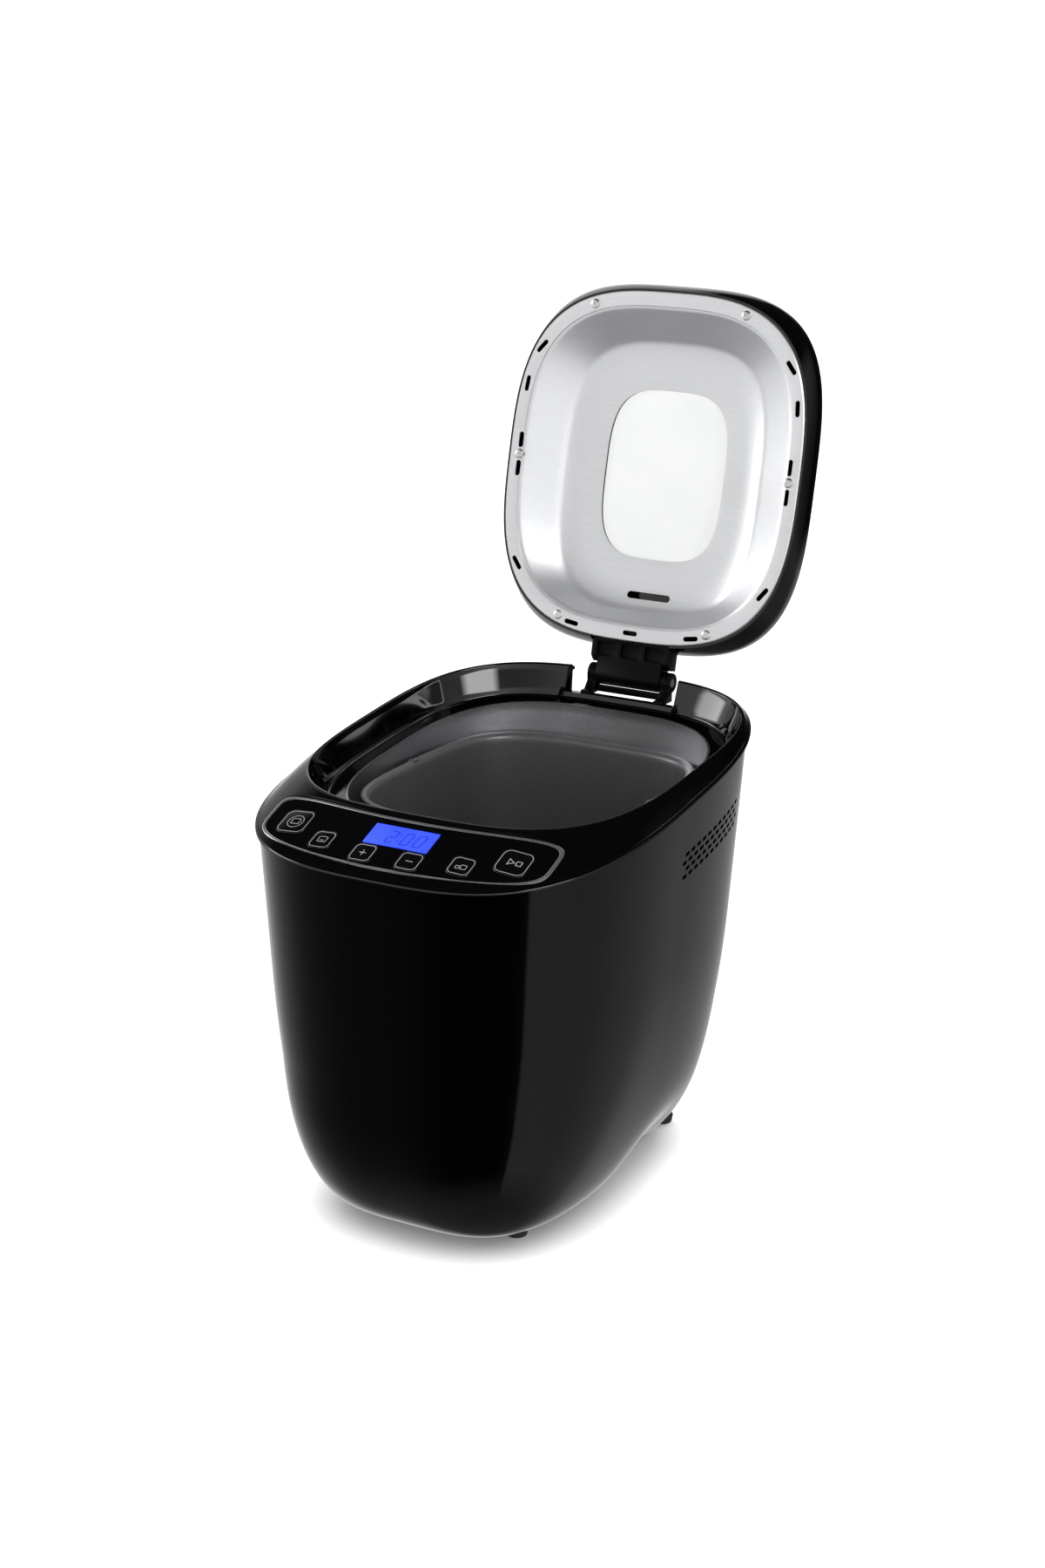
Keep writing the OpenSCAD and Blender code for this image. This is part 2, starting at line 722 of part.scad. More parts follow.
module lid_liner() {
    a = tray_w / 2;
    b = tray_d / 2;
    t = sheet_t;
    d = tray_deep;
    color("#c9cacc") on_lid() difference() {
        skin([
            lid_flat(a - t, b - t, tray_corner, 0, 3.2), lid_flat(a - t, b - t, tray_corner, 0, t),
            lid_flat(a - 9, b - 10, tray_corner, 0, t), lid_flat(a - 10.5, b - 11.5, 3.1, 0, t + 0.9),
            lid_flat(floor_x + 3, floor_end + 3, floor_corner, floor_y, d - 1.6 + t),
            lid_flat(floor_x - 0.4, floor_end - 0.4, floor_corner, floor_y, d + t),
            lid_flat(floor_x - 8, floor_end - 10, floor_corner, floor_y, d + 0.65 * dish + t),
            lid_flat(window_w / 2, window_d / 2, window_corner, window_y, d + dish + t),
            lid_flat(window_w / 2, window_d / 2, window_corner, window_y, d + dish),
            lid_flat(floor_x - 8, floor_end - 10, floor_corner, floor_y, d + 0.65 * dish),
            lid_flat(floor_x, floor_end, floor_corner, floor_y, d),
            lid_flat(floor_x + 3.7, floor_end + 3.7, floor_corner, floor_y, d - 1.8),
            lid_flat(a - 9.7, b - 10.7, 3.1, 0, 0.9), lid_flat(a - 8.2, b - 9.2, tray_corner, 0, 0),
            lid_flat(a - 0.6, b - 0.6, tray_corner, 0, 0), lid_flat(a, b, tray_corner, 0, 0.6),
            lid_flat(a, b, tray_corner, 0, 3.2)
        ], joined = true);
        for (s = flange_slots) mirrored() translate([s.x, s.y, -1]) rotate([0, 0, s[2]])
            linear_extrude(3) slot(flange_slot.x, flange_slot.y);
        translate([0, 102.9, -1]) linear_extrude(3) slot(flange_slot.x, flange_slot.y);
        at_lid_screws(-1) cylinder(r = screw_r + clear, h = 3);
        translate([1, 79.4, d - 2]) linear_extrude(8) slot(30, 4.4);
    }
}

module lid_window() {
    color("#dfe6e8") on_lid() translate([0, window_y, lid_t - lid_wall - 3.2]) linear_extrude(3)
        polygon(oval(window_w / 2 + 2 + pane_lap, window_d / 2 + 2 + pane_lap, window_corner));
}

module window_frame() {
    low = tray_deep + dish + sheet_t;
    color("#111113") on_lid() translate([0, window_y, low]) linear_extrude(lid_t - lid_wall - 3.2 - low)
        difference() {
            polygon(oval(window_w / 2 + duct_t, window_d / 2 + duct_t, window_corner));
            polygon(oval(window_w / 2 + 0.4, window_d / 2 + 0.4, window_corner));
        }
}

module lid_screws() {
    color("silver") on_lid() at_lid_screws(-0.9) {
        cylinder(r = screw_head_r, h = 0.9);
        cylinder(r = screw_r, h = 12);
    }
}

module hinge_arm() {
    neck = hinge_reach - ear_r - 1;
    color("#141416") on_lid() difference() {
        union() {
            translate([-arm_half, 0, 0]) sideways(2 * arm_half) polygon([
                [tray_d / 2 - 8.6, arm_low], [neck - arm_bevel, arm_low], [neck, arm_low + arm_bevel],
                [neck, arm_high], [tray_d / 2 - 8.6, arm_high]
            ]);
            box([-barrel_half, neck - arm_bevel - 1, arm_low], [barrel_half, hinge_reach - 2, arm_high]);
            translate([-barrel_half, hinge_reach, hinge_rise]) rotate([0, 90, 0])
                cylinder(r = barrel_r, h = 2 * barrel_half);
        }
        translate([-arm_half - 1, hinge_reach, hinge_rise]) rotate([0, 90, 0])
            cylinder(r = pin_r + running, h = 2 * arm_half + 2);
        for (x = [-1, 0, 1]) translate([x * 16.8, tray_d / 2 + 6.8, arm_low - 1]) linear_extrude(5)
            round_rect(13.6, 9, 1.5);
        mirrored() translate([arm_screw_at.x, arm_screw_at.y, arm_low - 1]) {
            cylinder(r = screw_r + clear, h = 20);
            cylinder(r = screw_head_r + clear, h = 4);
        }
    }
}

module arm_screws() {
    color("silver") on_lid() mirrored() translate([arm_screw_at.x, arm_screw_at.y, arm_low + 1]) {
        cylinder(r = screw_head_r, h = 2);
        cylinder(r = screw_r, h = arm_high - arm_low + 4);
    }
}

module hinge_bracket() {
    inner = barrel_half + clear;
    outer = inner + ear_t;
    front = bracket_y - hinge_y;
    under = front + bracket_d + 0.8;
    low = notch_h - ear_drop + clear - hinge_h;
    bar_top = notch_h - hinge_h + 1.4;
    color("#17171a") placed() difference() {
        union() {
            box([-outer, bracket_y, shelf_h], [outer, bracket_y + bracket_d, bracket_h]);
            box([-outer, hinge_y - 2.2, hinge_h + low], [outer, hinge_y, hinge_h - barrel_r - 0.4]);
            mirrored() translate([inner, hinge_y, hinge_h]) {
                sideways(ear_t) polygon([
                    [front, shelf_h - hinge_h], [under, shelf_h - hinge_h], [under, low], [0, low],
                    [0, 0], [0.1 - ear_r, 0], [0.1 - ear_r, -ear_knee], [-ear_r - 3.7, bar_top],
                    [front, bar_top]
                ]);
                rotate([0, 90, 0]) cylinder(r = ear_r, h = ear_t);
            }
        }
        translate([-outer - 1, hinge_y, hinge_h]) rotate([0, 90, 0])
            cylinder(r = pin_r + running / 2, h = 2 * outer + 2);
    }
}

module hinge_pin() {
    long = barrel_half + clear + ear_t - 0.1;
    color("silver") placed() translate([-long, hinge_y, hinge_h]) rotate([0, 90, 0])
        cylinder(r = pin_r, h = 2 * long);
}

// ---- Baking chamber and its fittings ----

mouth_x = bay_w / 2 - 0.5;
mouth_y = bay_d / 2 - 0.5;
mouth_under = seat_depth + frame_wall;

function bay_ring(a, b, n, z) = hoop(a, b, n, bay_y, z, 0);

chamber_corner = 3.4;
waist_h = chassis_h + 142;

function chamber_ring(inset, z) = bay_ring(chamber_x - inset, chamber_y - inset, chamber_corner, z);

function mouth_ring(grow, depth) = level(mouth_x + grow, mouth_y + grow, bay_corner, depth);

module baking_chamber() {
    t = 1;
    z = chassis_h;
    color("#b9babd") placed() difference() {
        skin([
            chamber_ring(5, z), chamber_ring(1.4, z + 1.4), chamber_ring(0, z + 5),
            bay_ring(mouth_x - 5, mouth_y - 7, bay_corner, waist_h), mouth_ring(0, mouth_under + 4),
            mouth_ring(0, mouth_under + 1), mouth_ring(4, mouth_under + 1),
            mouth_ring(4, mouth_under), mouth_ring(0, mouth_under),
            mouth_ring(0, seat_depth + 0.2), mouth_ring(-t, seat_depth + 0.2),
            mouth_ring(-t, mouth_under + 4),
            bay_ring(mouth_x - 5 - t, mouth_y - 7 - t, bay_corner, waist_h),
            chamber_ring(t, z + 5), chamber_ring(2, z + 2.2), chamber_ring(5, z + t)
        ]);
        translate([0, bay_y, z - 1]) cylinder(r = 12, h = 4);
        for (x = leg_at) translate([x, bay_y, element_h]) rotate([90, 0, 0])
            cylinder(r = element_r + 0.4, h = chamber_y + 5);
        translate([sensor_x, bay_y, sensor_h]) rotate([90, 0, 0]) cylinder(r = 3.3, h = mouth_y);
    }
}

sensor_h = chassis_h + 48;
sensor_x = 36;
element_corner = 4;

function element_turn(x) = acos(pow(x / element_x, element_corner / 2));

element_bend = 4;
leg_end = bay_y - chamber_y - 10;

// Middle of the tube: in along one leg, round the chamber and out along the other
element_path = let (
        from = -element_turn(leg_at[1] + element_bend),
        to = 360 - element_turn(leg_at[0] - element_bend),
        loop = [for (i = [0:68]) let (t = from + (to - from) * i / 68)
            [element_x * power(cos(t), 2 / element_corner),
                bay_y + element_y * power(sin(t), 2 / element_corner), element_h]]
    )
    concat(
        [[leg_at[1], leg_end, element_h], [leg_at[1], loop[0].y - element_bend, element_h]],
        loop,
        [[leg_at[0], loop[68].y - element_bend, element_h], [leg_at[0], leg_end, element_h]]
    );

module heating_element() {
    color("#55565a") placed() wire(element_path, element_r, 12);
}

module element_supports() {
    high = element_h - element_r - chamber_floor - clear;
    color("#9a9b9e") placed() {
        mirrored() translate([element_x - 3, bay_y - 5, chamber_floor]) cube([6, 10, high]);
        for (x = [-30, 30], y = [-element_y, element_y - 4])
            translate([x - 4, bay_y + y, chamber_floor]) cube([8, 4, high]);
    }
}

module element_terminals() {
    color("#e6e2d8") placed() for (x = leg_at)
        translate([x, bay_y - chamber_y - 1.2, element_h]) rotate([90, 0, 0]) difference() {
            cylinder(r = 6.5, h = 6);
            translate([0, 0, -1]) cylinder(r = element_r + running, h = 8);
        }
}

module temperature_sensor() {
    color("#cfcfd2") placed() translate([sensor_x, bay_y - chamber_y + 6, sensor_h]) rotate([90, 0, 0]) {
        cylinder(r = 3, h = 16);
        translate([0, 0, 11]) cylinder(r = 5, h = 5, $fn = 6);
    }
}

module thermal_fuse() {
    color("#d8d2c0") placed() translate([-40, bay_y - chamber_y - 6.5, sensor_h + 6]) {
        cube([18, 2.2, 8]);
        translate([9, 0, 4]) rotate([-90, 0, 0]) cylinder(r = 5, h = 4.6);
    }
}

module pan_clips() {
    color("#b5b6b9") placed() translate([0, bay_y, chamber_floor]) mirrored()
        translate([foot_ring_r + clear, -10, 0]) {
            cube([1.2, 20, 15]);
            cube([9, 20, 1.2]);
        }
}

// ---- Pan, handle and paddle ----

function pan_ring(inset, z) = bay_ring(pan_w / 2 - inset, pan_d / 2 - inset, pan_corner, z);

module bread_pan() {
    f = pan_floor;
    r = pan_rim;
    w = pan_wall;
    color("#6e6f72") placed() difference() {
        union() {
            skin([
                pan_ring(16, f - w), pan_ring(11, f + 1), pan_ring(9.8, f + 5), pan_ring(3.3, r - 6),
                pan_ring(3, r - 3), pan_ring(0.4, r - 1.9), pan_ring(0, r - 1),
                pan_ring(0.4, r - 0.2), pan_ring(1.2, r), pan_ring(3, r - 0.2),
                pan_ring(3 + w, r - 3), pan_ring(3.3 + w, r - 6),
                pan_ring(9.8 + w, f + 5), pan_ring(11 + w, f + 2.2), pan_ring(16 + w, f)
            ]);
            translate([0, bay_y, chamber_floor]) difference() {
                cylinder(r = foot_ring_r, h = pan_rise - w + 0.5);
                translate([0, 0, -1]) cylinder(r = foot_ring_r - 2, h = pan_rise - w + 1);
            }
            mirrored() translate([pan_w / 2 - 3.6, bay_y, bail_h]) {
                rotate([0, 90, 0]) cylinder(r = 5, h = 4.4);
                box([0, -5, -9], [4.4, 5, 0]);
            }
        }
        translate([0, bay_y, pan_floor - pan_wall - 1]) cylinder(r = hub_r + running, h = 5);
        mirrored() translate([pan_w / 2 - 2.6, bay_y, bail_h]) rotate([0, 90, 0])
            cylinder(r = wire_r + running, h = 6);
    }
}

bail_corner = 3;

module pan_handle() {
    path = [for (i = [0:36]) let (t = 5 * i)
        [bail_x * power(cos(t), 2 / bail_corner),
            bay_y + bail_y * power(sin(t), 2 / bail_corner), bail_h]];
    color("#8a8b8f") placed() {
        wire(path, wire_r, 10);
        mirrored() translate([pan_w / 2 - 2.4, bay_y, bail_h]) rotate([0, 90, 0])
            cylinder(r = wire_r, h = bail_x - pan_w / 2 + 2.4);
    }
}

module pan_hub() {
    color("#a0a1a4") placed() translate([0, bay_y, 0]) difference() {
        union() {
            translate([0, 0, pan_floor - 9]) cylinder(r = hub_r, h = hub_top - pan_floor + 9);
            translate([0, 0, pan_floor - pan_wall - 2.4]) cylinder(r = hub_r + 5, h = 2.4);
        }
        cylinder(r = paddle_shaft_r + running, h = 2 * hub_top);
    }
}

// Round shaft with a flat at its upper end
module flatted(r, low, flat, high) {
    translate([0, 0, low]) cylinder(r = r, h = flat - low);
    intersection() {
        translate([0, 0, flat - 0.5]) cylinder(r = r, h = high - flat + 0.5);
        box([-r * 0.55, -2 * r, flat - 1], [2 * r, 2 * r, high + 1]);
    }
}

module paddle_shaft() {
    color("silver") placed() translate([0, bay_y, 0])
        flatted(paddle_shaft_r, pan_disc_h, hub_top + 0.5, shaft_top);
}

paddle_h = 30;

module kneading_paddle() {
    low = hub_top + 0.6;
    r = paddle_shaft_r + 0.15;
    color("#4d4e52") placed() translate([0, bay_y, low]) difference() {
        union() {
            cylinder(r1 = 11, r2 = 9, h = 16);
            translate([0, 3, 0]) rotate([90, 0, 0]) linear_extrude(5) polygon(concat(
                [[0, 1], [paddle_reach, 1]],
                [for (t = [0:10:90]) [paddle_reach - 12 + 12 * cos(t), 8 + 12 * sin(t)]],
                [for (t = [0:15:90]) [6 + 12 * (1 - sin(t)), 20 + (paddle_h - 20) * sin(t)]],
                [[0, paddle_h]]));
        }
        intersection() {
            translate([0, 0, -1]) cylinder(r = r, h = shaft_top - low + 1.4);
            box([-r * 0.55 - 0.15, -2 * r, -2], [2 * r, 2 * r, 20]);
        }
    }
}

// Dog clutch half: a disc with two blocks that stand between those of the other half
module clutch(bore, disc, dog, turn) {
    low = min(disc, dog);
    color("#3c3d40") placed() translate([0, bay_y, 0]) rotate([0, 0, turn]) difference() {
        union() {
            translate([0, 0, disc]) cylinder(r = disc_r, h = disc_t);
            for (side = [0, 180]) rotate([0, 0, side]) intersection() {
                translate([0, 0, dog]) cylinder(r = disc_r, h = 7 + disc_t);
                box([7, -4.5, low], [disc_r, 4.5, low + 7 + disc_t]);
            }
        }
        translate([0, 0, low - 20]) cylinder(r = bore, h = 60);
    }
}

module pan_coupling() {
    clutch(paddle_shaft_r + 0.02, pan_disc_h, drive_disc_h + disc_t + dog_gap, 90);
}

module drive_coupling() {
    clutch(shaft_r + 0.02, drive_disc_h, drive_disc_h, 0);
}

// ---- Drive ----

module drive_shaft() {
    color("silver") placed() translate([0, bay_y, belt_h - 6]) cylinder(r = shaft_r,
        h = drive_disc_h + disc_t - belt_h + 6);
}

bearing_r = 10;

module shaft_bearing() {
    color("#8d8e91") placed() translate([0, bay_y, 0]) difference() {
        union() {
            translate([0, 0, belt_h + 12]) cylinder(r = bearing_r, h = chamber_floor + 1.5 - belt_h - 12);
            translate([0, 0, chassis_h - chassis_t - 4]) cylinder(r = 22, h = 4);
        }
        cylinder(r = shaft_r + running, h = 2 * chassis_h);
    }
}

// Pulley with a flat groove for the belt
module pulley(groove, bore, hub) {
    half = belt_w / 2 + clear;
    out = groove + belt_t + 1.2;
    rotate_extrude($fn = 96) polygon([[bore, -half - 3], [hub, -half - 3], [hub, -half - 1.6],
        [out, -half - 1.6], [out, -half], [groove, -half], [groove, half], [out, half],
        [out, half + 1.6], [hub, half + 1.6], [hub, half + 3], [bore, half + 3]]);
}

module large_pulley() {
    color("#d9d6cc") placed() translate([0, bay_y, belt_h]) difference() {
        pulley(big_pulley_r, shaft_r + 0.02, 12);
        for (a = [0:60:300]) rotate([0, 0, a]) translate([30, 0, -20]) cylinder(r = 10, h = 40);
    }
}

module small_pulley() {
    color("#c9ad5a") placed() translate([motor_at.x, motor_at.y, belt_h])
        pulley(small_pulley_r, motor_shaft_r + 0.02, small_pulley_r - 1);
}

module belt_loop(extra) {
    hull() {
        translate([0, bay_y]) circle(big_pulley_r + clear + extra, $fn = 96);
        translate(motor_at) circle(small_pulley_r + clear + extra);
    }
}

module drive_belt() {
    color("#242426") placed() translate([0, 0, belt_h - belt_w / 2]) linear_extrude(belt_w) difference() {
        belt_loop(belt_t);
        belt_loop(0);
    }
}

plate_x = 88;
plate_front = -128;
plate_rear = 114;

module chassis() {
    color("#a9aaad") placed() difference() {
        union() {
            translate([0, (plate_front + plate_rear) / 2, chassis_h - chassis_t])
                linear_extrude(chassis_t)
                    polygon(oval(plate_x, (plate_rear - plate_front) / 2, shell_corner));
            at_posts() translate([0, 0, edge_h]) cylinder(r = post_r, h = chassis_h - edge_h - 1);
        }
        translate([0, bay_y, 0]) cylinder(r = bearing_r + clear, h = 2 * chassis_h);
        translate(motor_at) cylinder(r = 8, h = 2 * chassis_h);
        at_posts() translate([0, 0, edge_h - 1]) cylinder(r = screw_r + 0.02, h = 16);
    }
}

module motor() {
    color("#6b6d70") placed() translate([motor_at.x, motor_at.y, chassis_h]) difference() {
        union() {
            cylinder(r = core_w / 2 - 1, h = 14);
            translate([-core_w / 2, -core_w / 2, 11]) cube([core_w, core_w, 26]);
            translate([0, 0, 36]) cylinder(r = core_w / 2 - 1, h = 12);
        }
        translate([0, 0, -1]) cylinder(r = motor_shaft_r + running, h = 60);
    }
}

module motor_shaft() {
    color("silver") placed() translate([motor_at.x, motor_at.y, belt_h - 7])
        cylinder(r = motor_shaft_r, h = fan_h + 8 - belt_h + 7);
}

module motor_fan() {
    color("#2c4a7a") placed() translate([motor_at.x, motor_at.y, fan_h]) difference() {
        union() {
            cylinder(r = 7, h = 7);
            cylinder(r = 23, h = 1.4);
            for (a = [0:40:320]) rotate([0, 0, a]) translate([5, -0.7, 0]) cube([18, 1.4, 6]);
        }
        translate([0, 0, -1]) cylinder(r = motor_shaft_r + 0.02, h = 10);
    }
}

module motor_capacitor() {
    color("#dcdcd6") placed() translate([34, -108, chassis_h]) {
        cylinder(r = 12, h = 42);
        for (x = [-4, 4]) translate([x, 0, 41]) cylinder(r = 1.2, h = 6);
    }
}

module power_board() {
    color("#7a5a2c") placed() translate([66, -105, chassis_h]) {
        cube([1.6, 40, 58]);
        translate([-9, 4, 8]) cube([9.5, 18, 20]);
        translate([-9, 28, 12]) cube([9.5, 12, 14]);
        translate([-7, 10, 36]) cube([7.5, 24, 14]);
    }
}

// ---- One piece at a time, or all of them ----

outer_shell();
base_plate();
feet();
base_screws();
rear_cover();
cord_gland();
top_frame();
lid_bumpers();
control_panel();
panel_trim();
display_lens();
display_module();
control_board();
key_switches();
menu_button();
crust_button();
time_up_button();
time_down_button();
loaf_size_button();
start_stop_button();
lid_cover();
lid_liner();
lid_window();
window_frame();
lid_screws();
hinge_arm();
arm_screws();
hinge_bracket();
hinge_pin();
baking_chamber();
heating_element();
element_supports();
element_terminals();
temperature_sensor();
thermal_fuse();
pan_clips();
bread_pan();
pan_handle();
pan_hub();
paddle_shaft();
kneading_paddle();
pan_coupling();
drive_coupling();
drive_shaft();
shaft_bearing();
large_pulley();
small_pulley();
drive_belt();
chassis();
motor();
motor_shaft();
motor_fan();
motor_capacitor();
power_board();
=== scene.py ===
# %% [markdown]
# # A bread machine with its lid open
# The solid model is already packed, with every piece in its place and in metres.
# This script loads it, gives each surface its finish, and rebuilds the large glossy mouldings
# with many more points, because a mirror-like surface shows every facet of a coarse one.

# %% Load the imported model
import json
import math

import bmesh
import bpy
import numpy as np
from mathutils import Matrix, Vector


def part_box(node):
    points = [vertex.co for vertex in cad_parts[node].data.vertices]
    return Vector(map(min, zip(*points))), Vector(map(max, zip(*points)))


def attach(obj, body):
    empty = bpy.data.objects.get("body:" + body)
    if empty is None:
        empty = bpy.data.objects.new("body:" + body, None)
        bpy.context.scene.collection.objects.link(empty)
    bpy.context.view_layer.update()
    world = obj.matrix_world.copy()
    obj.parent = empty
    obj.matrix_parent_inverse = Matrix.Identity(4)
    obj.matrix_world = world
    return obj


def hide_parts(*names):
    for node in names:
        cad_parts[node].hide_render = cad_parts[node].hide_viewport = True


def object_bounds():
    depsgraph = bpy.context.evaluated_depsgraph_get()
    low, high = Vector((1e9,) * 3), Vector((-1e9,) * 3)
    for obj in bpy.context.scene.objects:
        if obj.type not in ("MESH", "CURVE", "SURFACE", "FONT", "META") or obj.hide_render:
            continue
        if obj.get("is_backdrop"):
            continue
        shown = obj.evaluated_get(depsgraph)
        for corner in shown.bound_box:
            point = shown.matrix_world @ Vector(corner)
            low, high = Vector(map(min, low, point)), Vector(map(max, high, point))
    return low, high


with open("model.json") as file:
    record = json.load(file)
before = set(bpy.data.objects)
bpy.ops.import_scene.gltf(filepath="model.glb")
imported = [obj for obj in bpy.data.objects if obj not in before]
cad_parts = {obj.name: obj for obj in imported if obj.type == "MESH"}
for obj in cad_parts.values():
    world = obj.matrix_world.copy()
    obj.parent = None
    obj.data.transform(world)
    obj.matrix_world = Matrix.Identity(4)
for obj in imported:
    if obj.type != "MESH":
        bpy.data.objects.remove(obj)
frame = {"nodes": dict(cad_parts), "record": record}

cad_low, cad_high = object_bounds()
record = frame["record"]
nodes = frame["nodes"]
print("box of the solid model in metres:", tuple(cad_low), tuple(cad_high))

# %% [markdown]
# ## Camera
# A camera is a place, a direction and a lens. This one stands in front of the machine, to its
# right and a little above it, and looks down by less than twenty degrees. The long lens keeps
# the sides of the housing nearly parallel.

# %% Camera
LENS, SENSOR = 65, 36                  # millimetres
LOOK_DOWN, LOOK_ROUND = 17.57, 30.08   # degrees


def set_out(name, data):
    """Makes an object of this data and puts it into the scene."""
    piece = bpy.data.objects.new(name, data)
    bpy.context.scene.collection.objects.link(piece)
    return piece


camera_data = bpy.data.cameras.new("camera")
camera_data.lens = LENS
camera_data.sensor_width = SENSOR
camera = set_out("camera", camera_data)
camera.location = (0.7966, -1.396185, 0.7410)
camera.rotation_euler = (math.radians(90 - LOOK_DOWN), 0, math.radians(LOOK_ROUND))
bpy.context.scene.camera = camera
print("camera at", tuple(round(c, 3) for c in camera.location))

# %% [markdown]
# ## Node helpers
# A material is a small network of nodes. Writing each network out by hand is long, so one helper
# adds a node and another fills its inputs: a number goes into the socket, and a socket becomes a
# link. Sums, mixes, noise and bump come up again and again, so each has a short name of its own.

# %% Node helpers
def fill(tree, node, inputs):
    """Fills a node's inputs: a socket is linked, and anything else is a fixed value."""
    for key, value in inputs.items():
        if isinstance(value, bpy.types.NodeSocket):
            tree.links.new(value, node.inputs[key])
        else:
            node.inputs[key].default_value = value
    return node


def add(tree, kind, inputs=None, **settings):
    """Adds a node of this kind, with its settings and its inputs."""
    node = tree.nodes.new(kind)
    for name, value in settings.items():
        setattr(node, name, value)
    return fill(tree, node, inputs or {})


# %% Short names for common nodes
def maths(tree, operation, *values):
    """One operation on numbers, with a value or a socket for each of its inputs."""
    return add(tree, "ShaderNodeMath", dict(enumerate(values)), operation=operation).outputs[0]


def span(tree, value, low, high, old_low=0.3, old_high=0.7):
    """Stretches a noise value to run from low to high."""
    node = add(tree, "ShaderNodeMapRange", {
        "Value": value, "From Min": old_low, "From Max": old_high, "To Min": low, "To Max": high})
    return node.outputs["Result"]


def blend(tree, share, first, second, kind="FLOAT"):
    """Mixes two values, or two colours with the kind RGBA, by a share from 0 to 1."""
    return add(tree, "ShaderNodeMix", {"Factor": share, "A": first, "B": second},
               data_type=kind).outputs["Result"]


def tint(tree, share, first, second):
    """Mixes two fixed colours by a share from 0 to 1."""
    return blend(tree, share, (*first, 1), (*second, 1), "RGBA")


def noise(tree, place, scale, detail=2.0):
    """Soft random patches, this many to the metre."""
    return add(tree, "ShaderNodeTexNoise",
               {"Vector": place, "Scale": scale, "Detail": detail}).outputs["Fac"]


def bump(tree, height, depth):
    """Turns a pattern into small hills, this many metres high."""
    return add(tree, "ShaderNodeBump", {"Height": height, "Distance": depth}).outputs["Normal"]


def new_material(name):
    """A new material: itself, its tree, its shader and the place on the object."""
    material = bpy.data.materials.new(name)
    material.use_nodes = True
    tree = material.node_tree
    place = add(tree, "ShaderNodeTexCoord").outputs["Object"]
    return material, tree, tree.nodes["Principled BSDF"], place


# %% [markdown]
# ## Finishes
# Nearly every surface of a machine like this has the same few things going on: a colour that
# drifts a little, a gloss that is not quite even, and a grain that catches the light. One recipe
# with different numbers gives moulded plastic, rubber, brushed steel and cast metal. The grain is
# stretched along one axis where the metal was brushed.

# %% One recipe for many finishes
BROAD, SPECKS = 14.0, 700.0   # cells per metre of the slow drift and of the specks


def surface(name, colour, rough, metal=0.0, grain=900.0, depth=0.02, uneven=0.04, drift=0.15,
            stretch=(1, 1, 1), specks=0.0, **fixed):
    """A finish whose colour, gloss and grain vary over the surface.

    grain is in cells per metre, depth is the height of the grain in millimetres,
    uneven is the spread of the roughness and drift the spread of the colour."""
    material, tree, shader, place = new_material(name)
    along = add(tree, "ShaderNodeMapping", {"Vector": place, "Scale": stretch}).outputs["Vector"]
    fine = noise(tree, along, grain, 3.0)
    half = maths(tree, "MULTIPLY", maths(tree, "ADD", fine, noise(tree, place, BROAD)), 0.5)
    darker = [c * (1 - drift) for c in colour]
    lighter = [min(1.0, c * (1 + drift)) for c in colour]
    base = tint(tree, span(tree, half, 0, 1), darker, lighter)
    if specks:
        dots = add(tree, "ShaderNodeTexVoronoi", {"Vector": place, "Scale": SPECKS})
        share = span(tree, dots.outputs["Distance"], 1, 0, 0.05, 0.22)
        base = blend(tree, share, base, (specks, specks, specks, 1), "RGBA")
    fill(tree, shader, {
        "Base Color": base, "Metallic": metal, "Normal": bump(tree, fine, depth * 0.001),
        "Roughness": span(tree, half, max(0.02, rough - uneven), rough + uneven),
        **{key.replace("_", " "): value for key, value in fixed.items()}})
    return material
